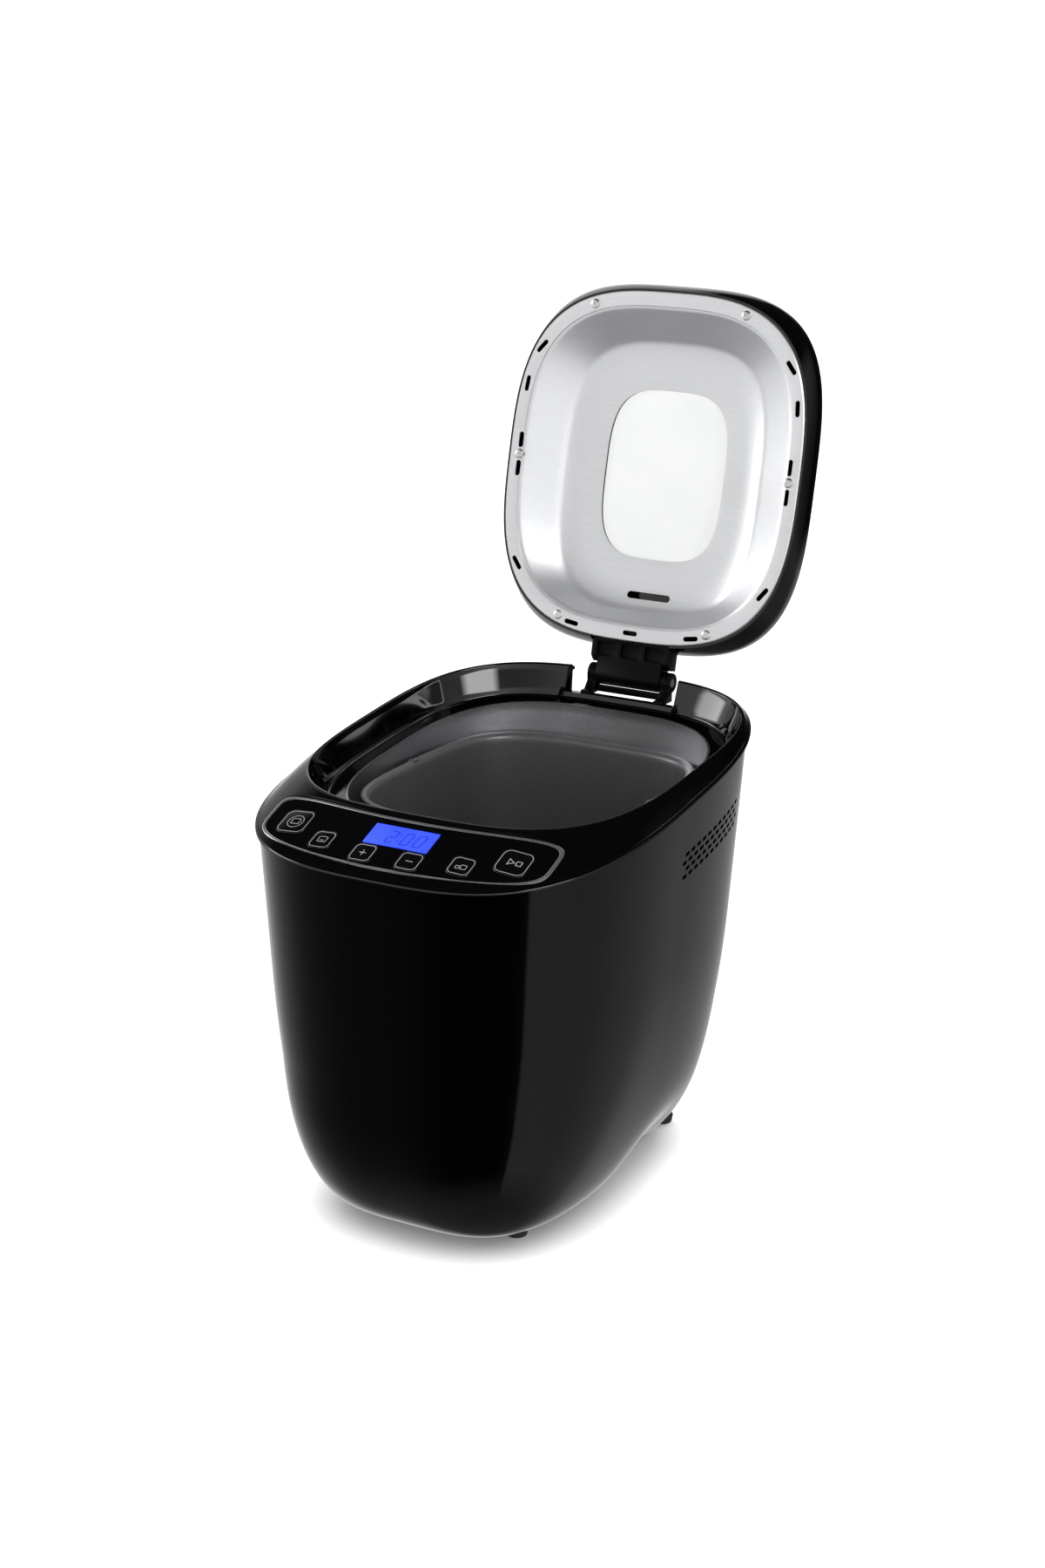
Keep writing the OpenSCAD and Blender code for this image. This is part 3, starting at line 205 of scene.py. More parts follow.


# %% [markdown]
# ## The finishes of this machine
# The names are the material slots of the solid model's record, so that each node finds its own.
# Glossy black needs almost no colour of its own: what shows is what it mirrors. The hinge has a
# darker, duller copy of the satin black, which is painted shade for the dark surroundings it
# mirrors. The printed signs have a silver ink.

# %% All finishes by slot
X_BRUSHED = (0.006, 1, 1)
RECIPES = {
    "black_gloss": dict(colour=(0.0006, 0.0006, 0.0007), rough=0.05, grain=260, depth=0.0012,
                        uneven=0.02),
    "black_satin": dict(colour=(0.009, 0.009, 0.0095), rough=0.42, grain=2600, depth=0.012),
    # painted shade: a darker, less glossy copy of the satin black for the hinge
    "hinge_black_painted_shade": dict(colour=(0.0022, 0.0022, 0.0024), rough=0.42, grain=2600, depth=0.012,
                        Specular_IOR_Level=0.1),
    "rubber_black": dict(colour=(0.018, 0.018, 0.019), rough=0.75, grain=1500, depth=0.03),
    "screw_steel": dict(colour=(0.62, 0.62, 0.61), rough=0.3, metal=1, grain=1800, depth=0.01),
    "panel_gloss": dict(colour=(0.0005, 0.0005, 0.0007), rough=0.06, grain=200, depth=0.0008,
                        uneven=0.02),
    "trim_silver": dict(colour=(0.62, 0.63, 0.65), rough=0.3, metal=0.9, grain=1500, depth=0.004),
    "board_green": dict(colour=(0.03, 0.16, 0.06), rough=0.4, grain=500, depth=0.02),
    "key_black": dict(colour=(0.0015, 0.0015, 0.002), rough=0.16, grain=1500, depth=0.004),
    "tray_steel": dict(colour=(0.69, 0.695, 0.71), rough=0.34, metal=0.6, grain=1000, depth=0.002,
                       uneven=0.05, drift=0.06, stretch=X_BRUSHED),
    "chamber_metal": dict(colour=(0.60, 0.60, 0.62), rough=0.33, metal=1, grain=900, depth=0.006,
                          uneven=0.08),
    "element_metal": dict(colour=(0.10, 0.10, 0.105), rough=0.5, metal=0.7, grain=1500, depth=0.02),
    "ceramic": dict(colour=(0.80, 0.77, 0.68), rough=0.55, grain=700, depth=0.02),
    "pan_coat": dict(colour=(0.115, 0.116, 0.12), rough=0.36, metal=0.35, grain=1400, depth=0.012,
                     specks=0.17),
    "handle_wire": dict(colour=(0.42, 0.42, 0.44), rough=0.3, metal=1, grain=1300, depth=0.006),
    "shaft_steel": dict(colour=(0.60, 0.60, 0.62), rough=0.22, metal=1, grain=1600, depth=0.004),
    "cast_metal": dict(colour=(0.48, 0.48, 0.50), rough=0.45, metal=1, grain=800, depth=0.04),
    "pulley_nylon": dict(colour=(0.75, 0.72, 0.64), rough=0.5, grain=700, depth=0.02,
                         Subsurface_Weight=0.1),
    "brass": dict(colour=(0.62, 0.45, 0.18), rough=0.3, metal=1, grain=1500, depth=0.006),
    "belt_rubber": dict(colour=(0.02, 0.02, 0.022), rough=0.7, grain=1200, depth=0.03),
    "motor_metal": dict(colour=(0.16, 0.17, 0.18), rough=0.5, metal=0.6, grain=1800, depth=0.02,
                        stretch=(1, 1, 4)),
    "fan_blue": dict(colour=(0.04, 0.12, 0.35), rough=0.4, grain=800, depth=0.01),
    "capacitor_white": dict(colour=(0.75, 0.75, 0.72), rough=0.4, grain=900, depth=0.01),
    "board_brown": dict(colour=(0.35, 0.22, 0.08), rough=0.55, grain=900, depth=0.02),
    "print_silver": dict(colour=(0.50, 0.51, 0.53), rough=0.4, metal=0.3, grain=2500, depth=0.004),
}
finishes = {name: surface(name, **recipe) for name, recipe in RECIPES.items()}
print(len(finishes), "finishes by recipe")

# %% [markdown]
# ## Glass and the lit display
# Window glass is a clear shader that lets light through both ways, with a faint wave in it. The
# display is a backlit blue film: it gives off its own light, so it uses emission, a little uneven
# as such a film is, under a skin with a very fine grain.

# %% Window glass
def clear_glass():
    material, tree, shader, place = new_material("window_glass")
    haze = noise(tree, place, 40.0)
    tone = tint(tree, span(tree, haze, 0, 1), (0.97, 0.985, 0.985), (0.99, 0.995, 0.995))
    fill(tree, shader, {
        "Roughness": span(tree, haze, 0.005, 0.02), "Base Color": tone,
        "Normal": bump(tree, haze, 0.00002), "Transmission Weight": 1.0, "IOR": 1.5})
    return material


# %% Backlit film
def lit_film(name, bright, dim, strength):
    """A film that gives off its own light between two levels."""
    material, tree, shader, place = new_material(name)
    colour = tint(tree, span(tree, noise(tree, place, 30.0), 0, 1), dim, bright)
    skin = noise(tree, place, 3000.0)
    fill(tree, shader, {
        "Emission Color": colour, "Base Color": colour, "Emission Strength": strength,
        "Roughness": span(tree, skin, 0.08, 0.16), "Normal": bump(tree, skin, 0.000004)})
    return material


finishes["window_glass"] = clear_glass()
finishes["display_blue"] = lit_film("display_blue", (0.045, 0.085, 0.95), (0.03, 0.06, 0.88), 0.95)
finishes["display_digit"] = lit_film("display_digit", (0.02, 0.035, 0.42), (0.015, 0.03, 0.36), 0.7)
print("finishes:", ", ".join(sorted(finishes)))

# %% [markdown]
# ## Studio
# The machine stands on a plain white surface. The camera sees white behind it, and so does a ray
# that comes through the window. A glossy black body shows only what it mirrors, so the sky that
# glossy rays meet is drawn as a room: one curve of grey levels for what lies above the horizon,
# one for what lies below it, a dark ceiling, a dim table underneath and two softboxes. The sky
# has the direction of each ray as its coordinate, so the room stays put in every view.

# %% Grey levels of the room
WHITE_ROOM = 1.0
# Direction round the room in turns: 0.25 is left, 0.5 is behind the machine and 0.75 is right
BELOW = [(0.0, 0.0), (0.05, 0.01), (0.10, 0.05), (0.16, 0.13), (0.216, 0.32), (0.26, 0.50),
         (0.31, 0.73), (0.38, 0.9), (0.45, 0.65), (0.50, 0.52), (0.55, 0.42), (0.60, 0.27),
         (0.68, 0.28), (0.78, 0.36), (0.835, 0.37), (0.85, 0.03), (0.90, 0.0), (1.0, 0.0)]
ABOVE = [(0.0, 0.9), (0.10, 1.0), (0.17, 1.0), (0.23, 1.3), (0.28, 0.6), (0.33, 0.5),
         (0.376, 1.0), (0.42, 1.2), (0.456, 1.0), (0.475, 0.1), (0.50, 0.02), (0.56, 0.01),
         (0.60, 0.05), (0.65, 0.28), (0.72, 0.6), (0.80, 1.0), (0.87, 1.5), (0.93, 1.2),
         (1.0, 0.9)]
TOP_LIGHT, TABLE = 0.03, 0.15
# Heights, as the Z of a direction, over which one part of the room passes into the next
HORIZON, CEILING, TABLE_EDGE = (-0.34, -0.24), (0.42, 0.62), (-0.72, -0.9)
SOFT_EDGE = 0.18   # share of a softbox's width over which each of its edges fades
# Each softbox: its level, its lower and upper edge in turns and its lower and upper edge in height
SOFTBOXES = [(9.0, 0.75, 0.89, 0.40, 0.66), (6.0, 0.15, 0.25, 0.12, 0.46)]
print("levels below and above the horizon:", len(BELOW), "and", len(ABOVE))


# %% Curve of grey levels
def ramp(tree, factor, stops):
    """A curve through grey levels, given as (place, level)."""
    node = add(tree, "ShaderNodeFloatCurve", {"Value": factor})
    curve = node.mapping.curves[0]
    node.mapping.use_clip = False
    node.mapping.extend = "HORIZONTAL"
    for i, (place, level) in enumerate(stops):
        if i < 2:
            point = curve.points[0 if i == 0 else -1]
            point.location = (place, level)
        else:
            point = curve.points.new(place, level)
        point.handle_type = "AUTO_CLAMPED"
    node.mapping.update()
    return node.outputs["Value"]


# %% Room that the glossy surfaces mirror
world = bpy.data.worlds.new("studio")
bpy.context.scene.world = world
world.use_nodes = True
sky = world.node_tree
sky.nodes.clear()
way = add(sky, "ShaderNodeTexCoord").outputs["Generated"]
parts = add(sky, "ShaderNodeSeparateXYZ", {"Vector": way}).outputs
turn = maths(sky, "MULTIPLY_ADD", maths(sky, "ARCTAN2", parts["X"], parts["Y"]),
             1 / (2 * math.pi), 0.5)
room = ramp(sky, turn, BELOW)
for edge, level in ((HORIZON, ramp(sky, turn, ABOVE)), (CEILING, TOP_LIGHT), (TABLE_EDGE, TABLE)):
    room = blend(sky, span(sky, parts["Z"], 0, 1, *edge), room, level)
for inside, left, right, low, high in SOFTBOXES:
    soft = SOFT_EDGE * (right - left), SOFT_EDGE * (high - low)
    for value, start, end in ((turn, left, left + soft[0]), (turn, right, right - soft[0]),
                              (parts["Z"], low, low + soft[1]), (parts["Z"], high, high - soft[1])):
        inside = maths(sky, "MULTIPLY", span(sky, value, 0, 1, start, end), inside)
    room = maths(sky, "ADD", room, inside)
ray = add(sky, "ShaderNodeLightPath").outputs
seen = blend(sky, ray["Is Glossy Ray"], WHITE_ROOM, room)
clear = maths(sky, "MAXIMUM", ray["Is Camera Ray"], ray["Is Transmission Ray"])
level = blend(sky, clear, seen, 1.0)
background = add(sky, "ShaderNodeBackground", {"Color": (1, 1, 1, 1), "Strength": level})
add(sky, "ShaderNodeOutputWorld", {"Surface": background.outputs["Background"]})
print("sky with", len(sky.nodes), "nodes")

# %% [markdown]
# ## Floor and lamps
# The floor is one pale sheet. The camera sees it lifted to white, and the lift fades where the
# machine stands close above the sheet: a painted contact shadow, added to the real soft shadow. One
# broad lamp above and behind gives the matt pieces a little shape.

# %% Floor
FLOOR_REACH = 40.0            # metres from the middle to each edge
PAINTED_SHADOW_REACH = 0.035           # metres over which the machine takes the lift away
LIFT_NEAR, LIFT_FAR = 0.1, 0.6


def white_floor():
    material, tree, shader, place = new_material("floor")
    cloud = span(tree, noise(tree, place, 3.0), 0, 1)
    ray = add(tree, "ShaderNodeLightPath").outputs
    # Ambient occlusion takes the lift away near the machine: painted contact shadow on the floor
    painted_shadow_ao = add(tree, "ShaderNodeAmbientOcclusion", {"Distance": PAINTED_SHADOW_REACH}).outputs["AO"]
    lift = maths(tree, "MULTIPLY", ray["Is Camera Ray"], span(tree, painted_shadow_ao, LIFT_NEAR, LIFT_FAR))
    fill(tree, shader, {
        "Base Color": tint(tree, cloud, (0.90, 0.90, 0.90), (0.92, 0.92, 0.92)),
        "Roughness": 0.9, "Specular IOR Level": 0.0, "Emission Color": (1, 1, 1, 1),
        "Emission Strength": lift})
    return material


floor_mesh = bpy.data.meshes.new("floor")
floor_mesh.from_pydata([(x * FLOOR_REACH, y * FLOOR_REACH, 0)
                        for x, y in ((-1, -1), (1, -1), (1, 1), (-1, 1))], [], [(0, 1, 2, 3)])
floor_mesh.materials.append(white_floor())
floor = set_out("floor", floor_mesh)
floor.visible_glossy = False
floor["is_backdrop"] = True

# %% Lamp
LAMP_PLACE, LAMP_AIM = Vector((0.5, 0.9, 1.7)), Vector((0, 0, 0.2))
LAMP_SIZE, LAMP_WATTS = 1.2, 4
lamp_data = bpy.data.lights.new("key_lamp", "AREA")
lamp_data.size = LAMP_SIZE
lamp_data.energy = LAMP_WATTS
key_lamp = set_out("key_lamp", lamp_data)
key_lamp.location = LAMP_PLACE
key_lamp.rotation_euler = (LAMP_AIM - LAMP_PLACE).to_track_quat("-Z", "Y").to_euler()
key_lamp.visible_glossy = False
bpy.context.scene.view_settings.view_transform = "Standard"
print("floor and", len(bpy.data.lights), "lamp")

# %% [markdown]
# ## Outlines
# Every moulded outline here is a superellipse: a curve between an ellipse and a rectangle, set by
# one number. The points are spread evenly along it, so that the corners, where the mirror images
# bend most, get as many as the sides.

# %% Even points round a superellipse
MM = 0.001    # metres in a millimetre
ROUND = 288   # points round one outline
LIP = 2.8     # how far the top frame stands out past the housing
SHELL_W, SHELL_D = 236.8, 295.5
SEAM_H, SEAM_TILT = 249.5, math.radians(8.43)
MID_Y = -(SHELL_D / 2 + LIP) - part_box("top_frame")[0].y / MM


def power(x, p):
    """Raises the size of a number to a power and keeps its sign."""
    return np.sign(x) * np.abs(x) ** p


def even_turns(count, a=120.0, b=150.0, n=3.1):
    """Angles whose points lie evenly along the outline."""
    t = np.linspace(0, 2 * np.pi, 20001)
    x, y = a * power(np.cos(t), 2 / n), b * power(np.sin(t), 2 / n)
    run = np.concatenate([[0], np.cumsum(np.hypot(np.diff(x), np.diff(y)))])
    return np.interp(np.linspace(0, run[-1], count, endpoint=False), run, t)


TURNS = even_turns(ROUND)


def oval(a, b, n):
    """A superellipse with half widths a and b and the corner n."""
    return np.stack([a * power(np.cos(TURNS), 2 / n), b * power(np.sin(TURNS), 2 / n)], 1)


def at_height(outline, z):
    """A flat outline lifted to one height, or to a height for each of its points."""
    return np.column_stack([outline, np.broadcast_to(z, len(outline))])


def hoop(a, b, n, y, h, tilt=0.0):
    """An outline in space, sloping along y."""
    p = oval(a, b, n)
    return np.stack([p[:, 0], y + p[:, 1], h + math.tan(tilt) * p[:, 1]], 1)


print("points round an outline:", ROUND, "and the middle of the box at", round(MID_Y, 3), "mm")

# %% [markdown]
# ## Lofts
# A loft is a stack of outlines joined by quads. It is what a mould maker calls the parting shape:
# each outline is one section. Sections are close together where the wall curves and far apart
# where it is straight.

# %% Loft helpers
def to_frame(points):
    """Millimetres of the housing to metres of the whole model."""
    return (np.asarray(points, float) - [0, MID_Y, 0]) * MM


def between(rings, steps):
    """The rings with evenly spaced ones put in between each pair."""
    out = []
    for first, second in zip(rings[:-1], rings[1:]):
        out += [first + (second - first) * i / steps for i in range(steps)]
    return out + [rings[-1]]


def finish_mesh(piece, smooth=35.0):
    """Merges doubles, turns the faces outwards and smooths all but the sharp edges."""
    work = bmesh.new()
    work.from_mesh(piece.data)
    bmesh.ops.remove_doubles(work, verts=work.verts, dist=2e-6)
    bmesh.ops.recalc_face_normals(work, faces=work.faces)
    work.to_mesh(piece.data)
    work.free()
    piece.data.shade_smooth()
    piece.data.set_sharp_from_angle(angle=math.radians(smooth))
    return piece


# %% Pieces from points
def mesh_piece(name, points, faces, finish=None):
    """A mesh object from its points in metres and its faces."""
    mesh = bpy.data.meshes.new(name)
    mesh.from_pydata([tuple(p) for p in points], [], faces)
    if finish:
        mesh.materials.append(finishes[finish])
    return set_out(name, mesh)


def loft(name, rings, finish=None, joined=True, turned=None):
    """A skin through the rings: a closed ring of rings, or a stack with a cap at each end."""
    n, count = len(rings[0]), len(rings)
    points = np.concatenate(rings)
    faces = []
    for i in range(count if joined else count - 1):
        low, high = i * n, (i + 1) % count * n
        faces += [(low + j, low + (j + 1) % n, high + (j + 1) % n, high + j) for j in range(n)]
    if not joined:
        faces.append(tuple(range(n)))
        faces.append(tuple(range((count - 1) * n, count * n)))
    return finish_mesh(mesh_piece(name, (turned or to_frame)(points), faces, finish))


def paint(piece, finish):
    """Gives a whole piece one finish."""
    mesh = piece.data
    mesh.materials.clear()
    mesh.materials.append(finishes[finish])
    mesh.polygons.foreach_set("material_index", [0] * len(mesh.polygons))


def wear(piece, body, slot, *replaced):
    """Says which body a piece moves with and which nodes it stands for. The slot is not used."""
    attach(piece, body)
    if replaced:
        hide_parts(*replaced)
    print(f"{piece.name}: {len(piece.data.polygons)} faces")
    return piece


# %% [markdown]
# ## Cutting
# Slots and openings are cut with the Boolean modifier, as a cutter takes them out of the real
# moulding. Each cutter gets a modifier of its own, and the result is made plain mesh in one go.

# %% Cutters
def bake(piece):
    """Turns the piece's modifiers into its mesh."""
    bpy.context.view_layer.update()
    graph = bpy.context.evaluated_depsgraph_get()
    mesh = bpy.data.meshes.new_from_object(piece.evaluated_get(graph))
    piece.modifiers.clear()
    piece.data = mesh
    return piece


def modify(piece, kind, **settings):
    """Adds a modifier of this kind with its settings."""
    modifier = piece.modifiers.new(kind.lower(), kind)
    for name, value in settings.items():
        setattr(modifier, name, value)
    return modifier


def cut(piece, cutters, operation="DIFFERENCE"):
    """Takes the cutters away from a piece, or joins them to it, and removes them."""
    for cutter in cutters:
        modify(piece, "BOOLEAN", operation=operation, solver="MANIFOLD", object=cutter)
    bake(piece)
    for cutter in cutters:
        bpy.data.objects.remove(cutter)
    return finish_mesh(piece)


# %% Boxes, prisms and outlines to cut with
def brick(low, high, turned=to_frame):
    """A box between two corners, in millimetres."""
    (a, b, c), (d, e, f) = low, high
    points = [(x, y, z) for z in (c, f) for y in (b, e) for x in (a, d)]
    faces = [(0, 2, 3, 1), (4, 5, 7, 6), (0, 1, 5, 4), (2, 6, 7, 3), (0, 4, 6, 2), (1, 3, 7, 5)]
    return mesh_piece("cutter", turned(np.array(points, float)), faces)


def placed(matrix):
    """A function that puts points of a local frame, in millimetres, into the model."""
    m = np.array(matrix)
    return lambda points: to_frame(np.asarray(points, float) @ m[:3, :3].T + m[:3, 3])


def prism(outline, low, high, turned):
    """A flat outline made solid between two heights."""
    n = len(outline)
    points = [(x, y, low) for x, y in outline] + [(x, y, high) for x, y in outline]
    faces = [tuple(range(n - 1, -1, -1)), tuple(range(n, 2 * n))]
    faces += [(j, (j + 1) % n, n + (j + 1) % n, n + j) for j in range(n)]
    return mesh_piece("cutter", turned(np.array(points, float)), faces)


def circle(radius, count=48, x=0.0, y=0.0):
    t = np.linspace(0, 2 * np.pi, count, endpoint=False)
    return np.stack([x + radius * np.cos(t), y + radius * np.sin(t)], 1)


def rod(start, about, length, radius, count=48):
    """A round rod from a point: to the right if turned about Y, to the front if about X."""
    turned = placed(Matrix.Translation(start) @ Matrix.Rotation(math.pi / 2, 4, about))
    return prism(circle(radius, count), 0, length, turned)


def round_rect(w, d, r, count=10, x=0.0, y=0.0):
    """A rectangle with round corners, anticlockwise."""
    out = []
    for k, (sx, sy) in enumerate(((1, 1), (-1, 1), (-1, -1), (1, -1))):
        for i in range(count + 1):
            a = math.radians(90 * k + 90 * i / count)
            out.append((x + sx * (w / 2 - r) + r * math.cos(a),
                        y + sy * (d / 2 - r) + r * math.sin(a)))
    return np.array(out)


print("helpers ready")

# %% [markdown]
# ## Slots at points
# The vents and the steel tray carry dozens of equal slots. Geometry Nodes makes one slot and
# sets a copy on each point, turned by the point's own angle. The slot's sizes are inputs of the
# tree, so one tree serves the housing, the rear cover and the tray. A tree runs on a mesh that
# carries one value for each point, and every tree ends the same way, so both have a helper.

# %% Geometry Nodes helpers
def node_tree(name, inputs):
    """A tree with a geometry input and output, and named inputs for its sizes."""
    tree = bpy.data.node_groups.new(name, "GeometryNodeTree")
    tree.interface.new_socket("Geometry", in_out="INPUT", socket_type="NodeSocketGeometry")
    for label, kind, value in inputs:
        socket = tree.interface.new_socket(label, in_out="INPUT", socket_type=kind)
        if value is not None:
            socket.default_value = value
    tree.interface.new_socket("Geometry", in_out="OUTPUT", socket_type="NodeSocketGeometry")
    return tree, tree.nodes.new("NodeGroupInput").outputs, tree.nodes.new("NodeGroupOutput").inputs


def grow(name, tree, source, values, finish):
    """Runs the tree on a mesh and returns its result as a plain mesh object."""
    values = {**values, "Finish": finishes[finish]}
    modifier = modify(source, "NODES", node_group=tree)
    for item in tree.interface.items_tree:
        if item.in_out == "INPUT" and item.name in values:
            modifier[item.identifier] = values[item.name]
    bake(source)
    source.name = name
    return source


# %% Values on points, and the end of a tree
def read(tree, name):
    """The value that each point carries under this name."""
    node = add(tree, "GeometryNodeInputNamedAttribute", {"Name": name}, data_type="FLOAT")
    return node.outputs["Attribute"]


def dress(tree, geometry, given, out):
    """Ends a tree: makes the copies real and gives them their finish."""
    real = add(tree, "GeometryNodeRealizeInstances", {"Geometry": geometry})
    dressed = add(tree, "GeometryNodeSetMaterial", {
        "Geometry": real.outputs["Geometry"], "Material": given["Finish"]})
    tree.links.new(dressed.outputs["Geometry"], out["Geometry"])


def note(piece, label, values, kind="FLOAT", key="value"):
    """Writes one value for each point of a mesh."""
    piece.data.attributes.new(label, kind, "POINT").data.foreach_set(key, values)


def reshape(piece, change):
    """Moves every point of a mesh. The change takes millimetres and gives metres."""
    points = np.array([v.co for v in piece.data.vertices]) / MM
    for vertex, point in zip(piece.data.vertices, change(points)):
        vertex.co = point


# %% Tree that sets slots on points
FLOAT, FINISH = "NodeSocketFloat", "NodeSocketMaterial"
slots_tree, given, out = node_tree("slots at points", [
    ("Slot length", FLOAT, 0.006), ("Slot width", FLOAT, 0.002), ("Depth", FLOAT, 0.003),
    ("Finish", FINISH, None)])
outline = add(slots_tree, "GeometryNodeCurvePrimitiveQuadrilateral", {
    "Width": given["Slot length"], "Height": given["Slot width"]})
rounded = add(slots_tree, "GeometryNodeFilletCurve", {
    "Curve": outline.outputs["Curve"], "Count": 5,
    "Radius": maths(slots_tree, "MULTIPLY", given["Slot width"], 0.4999)}, mode="POLY")
face = add(slots_tree, "GeometryNodeFillCurve", {"Curve": rounded.outputs["Curve"]}, mode="NGONS")
body = add(slots_tree, "GeometryNodeExtrudeMesh", {
    "Mesh": face.outputs["Mesh"], "Offset Scale": given["Depth"]})
back = add(slots_tree, "GeometryNodeFlipFaces", {"Mesh": face.outputs["Mesh"]})
whole = add(slots_tree, "GeometryNodeJoinGeometry")
slots_tree.links.new(body.outputs["Mesh"], whole.inputs["Geometry"])
slots_tree.links.new(back.outputs["Mesh"], whole.inputs["Geometry"])
closed = add(slots_tree, "GeometryNodeMergeByDistance", {
    "Geometry": whole.outputs["Geometry"], "Distance": 1e-6})
about = add(slots_tree, "ShaderNodeCombineXYZ", {"Z": read(slots_tree, "turn")})
copies = add(slots_tree, "GeometryNodeInstanceOnPoints", {
    "Points": given["Geometry"], "Instance": closed.outputs["Geometry"],
    "Rotation": about.outputs["Vector"]})
dress(slots_tree, copies.outputs["Instances"], given, out)


def slot_cutter(places, length, width, depth, turned):
    """Cutters for slots at (x, y, angle), in millimetres of a local frame."""
    source = mesh_piece("slots", [(x * MM, y * MM, 0) for x, y, a in places], [])
    note(source, "turn", [math.radians(a) for x, y, a in places])
    cutter = grow("slot_cutter", slots_tree, source, {
        "Slot length": length * MM, "Slot width": width * MM, "Depth": depth * MM},
        "black_satin")
    reshape(cutter, turned)
    return finish_mesh(cutter)


print("tree with", len(slots_tree.nodes), "nodes")

# %% [markdown]
# ## Housing
# The housing is one injection moulding. Its outline swells out of a narrow foot, leans in a
# little all the way up and carries a shallow grip in the lower edge of each side. Each wall
# follows a quarter ellipse near the table, so the sections crowd together there.

# %% Sections of the housing
FOOT_H, BASE_T, WALL = 5.0, 3.0, 2.5
EDGE_H = FOOT_H + BASE_T
TAPER = {"side": 0.07, "front": 0.03, "rear": 0.10}
TUCK = {"side": (36.5, 147.0), "front": (36.0, 75.0), "rear": (18.0, 120.0)}
GRIP_DEPTH, GRIP_HALF, GRIP_Y, GRIP_H = 14.0, 36.0, 40.0, 30.0


def curve_in(z, side, t):
    """How far the wall is tucked in at a height, along a quarter ellipse."""
    tuck, sweep = TUCK[side]
    k = min(1.0, max(0.0, (FOOT_H + t + sweep - z) / sweep))
    return tuck * (1 - math.sqrt(1 - k * k))


def housing(z, t=0.0):
    """Outline of the housing at a height, t inside its outer face."""
    a, f, b = (half - t - TAPER[side] * (SEAM_H - z) - curve_in(z, side, t)
               for side, half in (("side", SHELL_W / 2), ("front", SHELL_D / 2),
                                  ("rear", SHELL_D / 2)))
    p = oval(a, (f + b) / 2, 3.1 + 0.4 * max(0.0, 1 - z / 100))
    y = (b - f) / 2 + p[:, 1]
    grip = np.exp(-((y - GRIP_Y) / GRIP_HALF) ** 2 - ((z - FOOT_H) / GRIP_H) ** 2)
    lean = math.tan(SEAM_TILT) * (max(0.0, z - 20) / (SEAM_H - 20)) ** 2
    return np.stack([p[:, 0] * (1 - GRIP_DEPTH / a * grip), y, z + lean * y], 1)


rise = 1 - np.cos(np.linspace(0, 1, 64) * math.pi / 2)
heights = EDGE_H + (SEAM_H - EDGE_H) * rise


def housing_skin(name, finish):
    """The housing's wall as a closed skin, from the outer face round to the inner one."""
    outer = [housing(z) for z in heights]
    inner = [housing(z, WALL) for z in heights[::-1]]
    return loft(name, outer + inner, finish)


print("sections:", len(heights), "up to", round(heights[-1], 1), "mm")

# %% [markdown]
# The vents are four rows of short slots on each side, each row set half a step from the next.
# The opening in the back and the notch for the hinge are plain boxes.

# %% Places of the hinge and its notch
NOTCH_HALF = 38.5
HINGE_REACH, HINGE_RISE = 130.3, 10.25
RIM_TILT, RIM_Y, RIM_H = math.radians(6), 22.4, 263.5
SEAT_DROP, SEAT_DEPTH = 17.0, 18.4
seat_y = RIM_Y + SEAT_DROP * math.sin(RIM_TILT)
seat_h = RIM_H - SEAT_DROP * math.cos(RIM_TILT)
HINGE_Y = seat_y + HINGE_REACH * math.cos(RIM_TILT) - HINGE_RISE * math.sin(RIM_TILT)
HINGE_H = seat_h + HINGE_REACH * math.sin(RIM_TILT) + HINGE_RISE * math.cos(RIM_TILT)
NOTCH_H = HINGE_H - 10
SHELF_H = NOTCH_H - 5
BRACKET_Y, BRACKET_D = HINGE_Y - 14.8, 4.0
print("hinge pin at", round(HINGE_Y, 2), round(HINGE_H, 2), "mm")

# %% Housing with its vents
PITCH_X, PITCH_Y = 7.2, 4.4
VENT_L, VENT_W = 5.2, 2.4
SIDE_VENT_Y, SIDE_VENT_H, BACK_VENT_H = 36, 216.5, 180
REAR_HALF, REAR_LOW, REAR_HIGH, REAR_GAP = 66, 34, 226, 0.3


def vent_places(columns):
    """Places of a field of vents, with every other row set half a step along."""
    return [((i - (columns - 1) / 2 + row % 2 / 2) * PITCH_X, (row - 1.5) * PITCH_Y, 0)
            for row in range(4) for i in range(columns)]


side_vents = placed(Matrix.Translation((-SHELL_W, SIDE_VENT_Y, SIDE_VENT_H))
                    @ Matrix.Rotation(SEAM_TILT, 4, "X") @ Matrix.Rotation(math.pi / 2, 4, "Z")
                    @ Matrix.Rotation(math.pi / 2, 4, "X"))
shell = housing_skin("housing_shell", "black_gloss")
cut(shell, [
    brick((-REAR_HALF - REAR_GAP, 60, REAR_LOW - REAR_GAP),
          (REAR_HALF + REAR_GAP, SHELL_D, REAR_HIGH + REAR_GAP)),
    brick((-NOTCH_HALF, BRACKET_Y, NOTCH_H - 2), (NOTCH_HALF, SHELL_D, 2 * NOTCH_H)),
    slot_cutter(vent_places(11), VENT_L, VENT_W, 2 * SHELL_W, side_vents)])
wear(shell, "housing", "black_gloss", "outer_shell")

# %% [markdown]
# ## Base and rear cover
# The base closes the housing from below, and four screws hold it. The rear cover is cut from the
# same curved wall, with vents of its own and a round pad for the mains lead's bush.

# %% Base plate
base = loft("base_panel", between([housing(FOOT_H), housing(EDGE_H)], 3), "black_satin",
            joined=False)
POSTS = [(s * x, y) for x, y in ((49, -62), (40, 74)) for s in (1, -1)]
cut(base, [prism(circle(r, 32, x, y), FOOT_H - 1, top, to_frame)
           for x, y in POSTS for r, top in ((1.8, FOOT_H + 5), (3.3, FOOT_H + 1.5))])
wear(base, "housing", "black_satin", "base_plate")

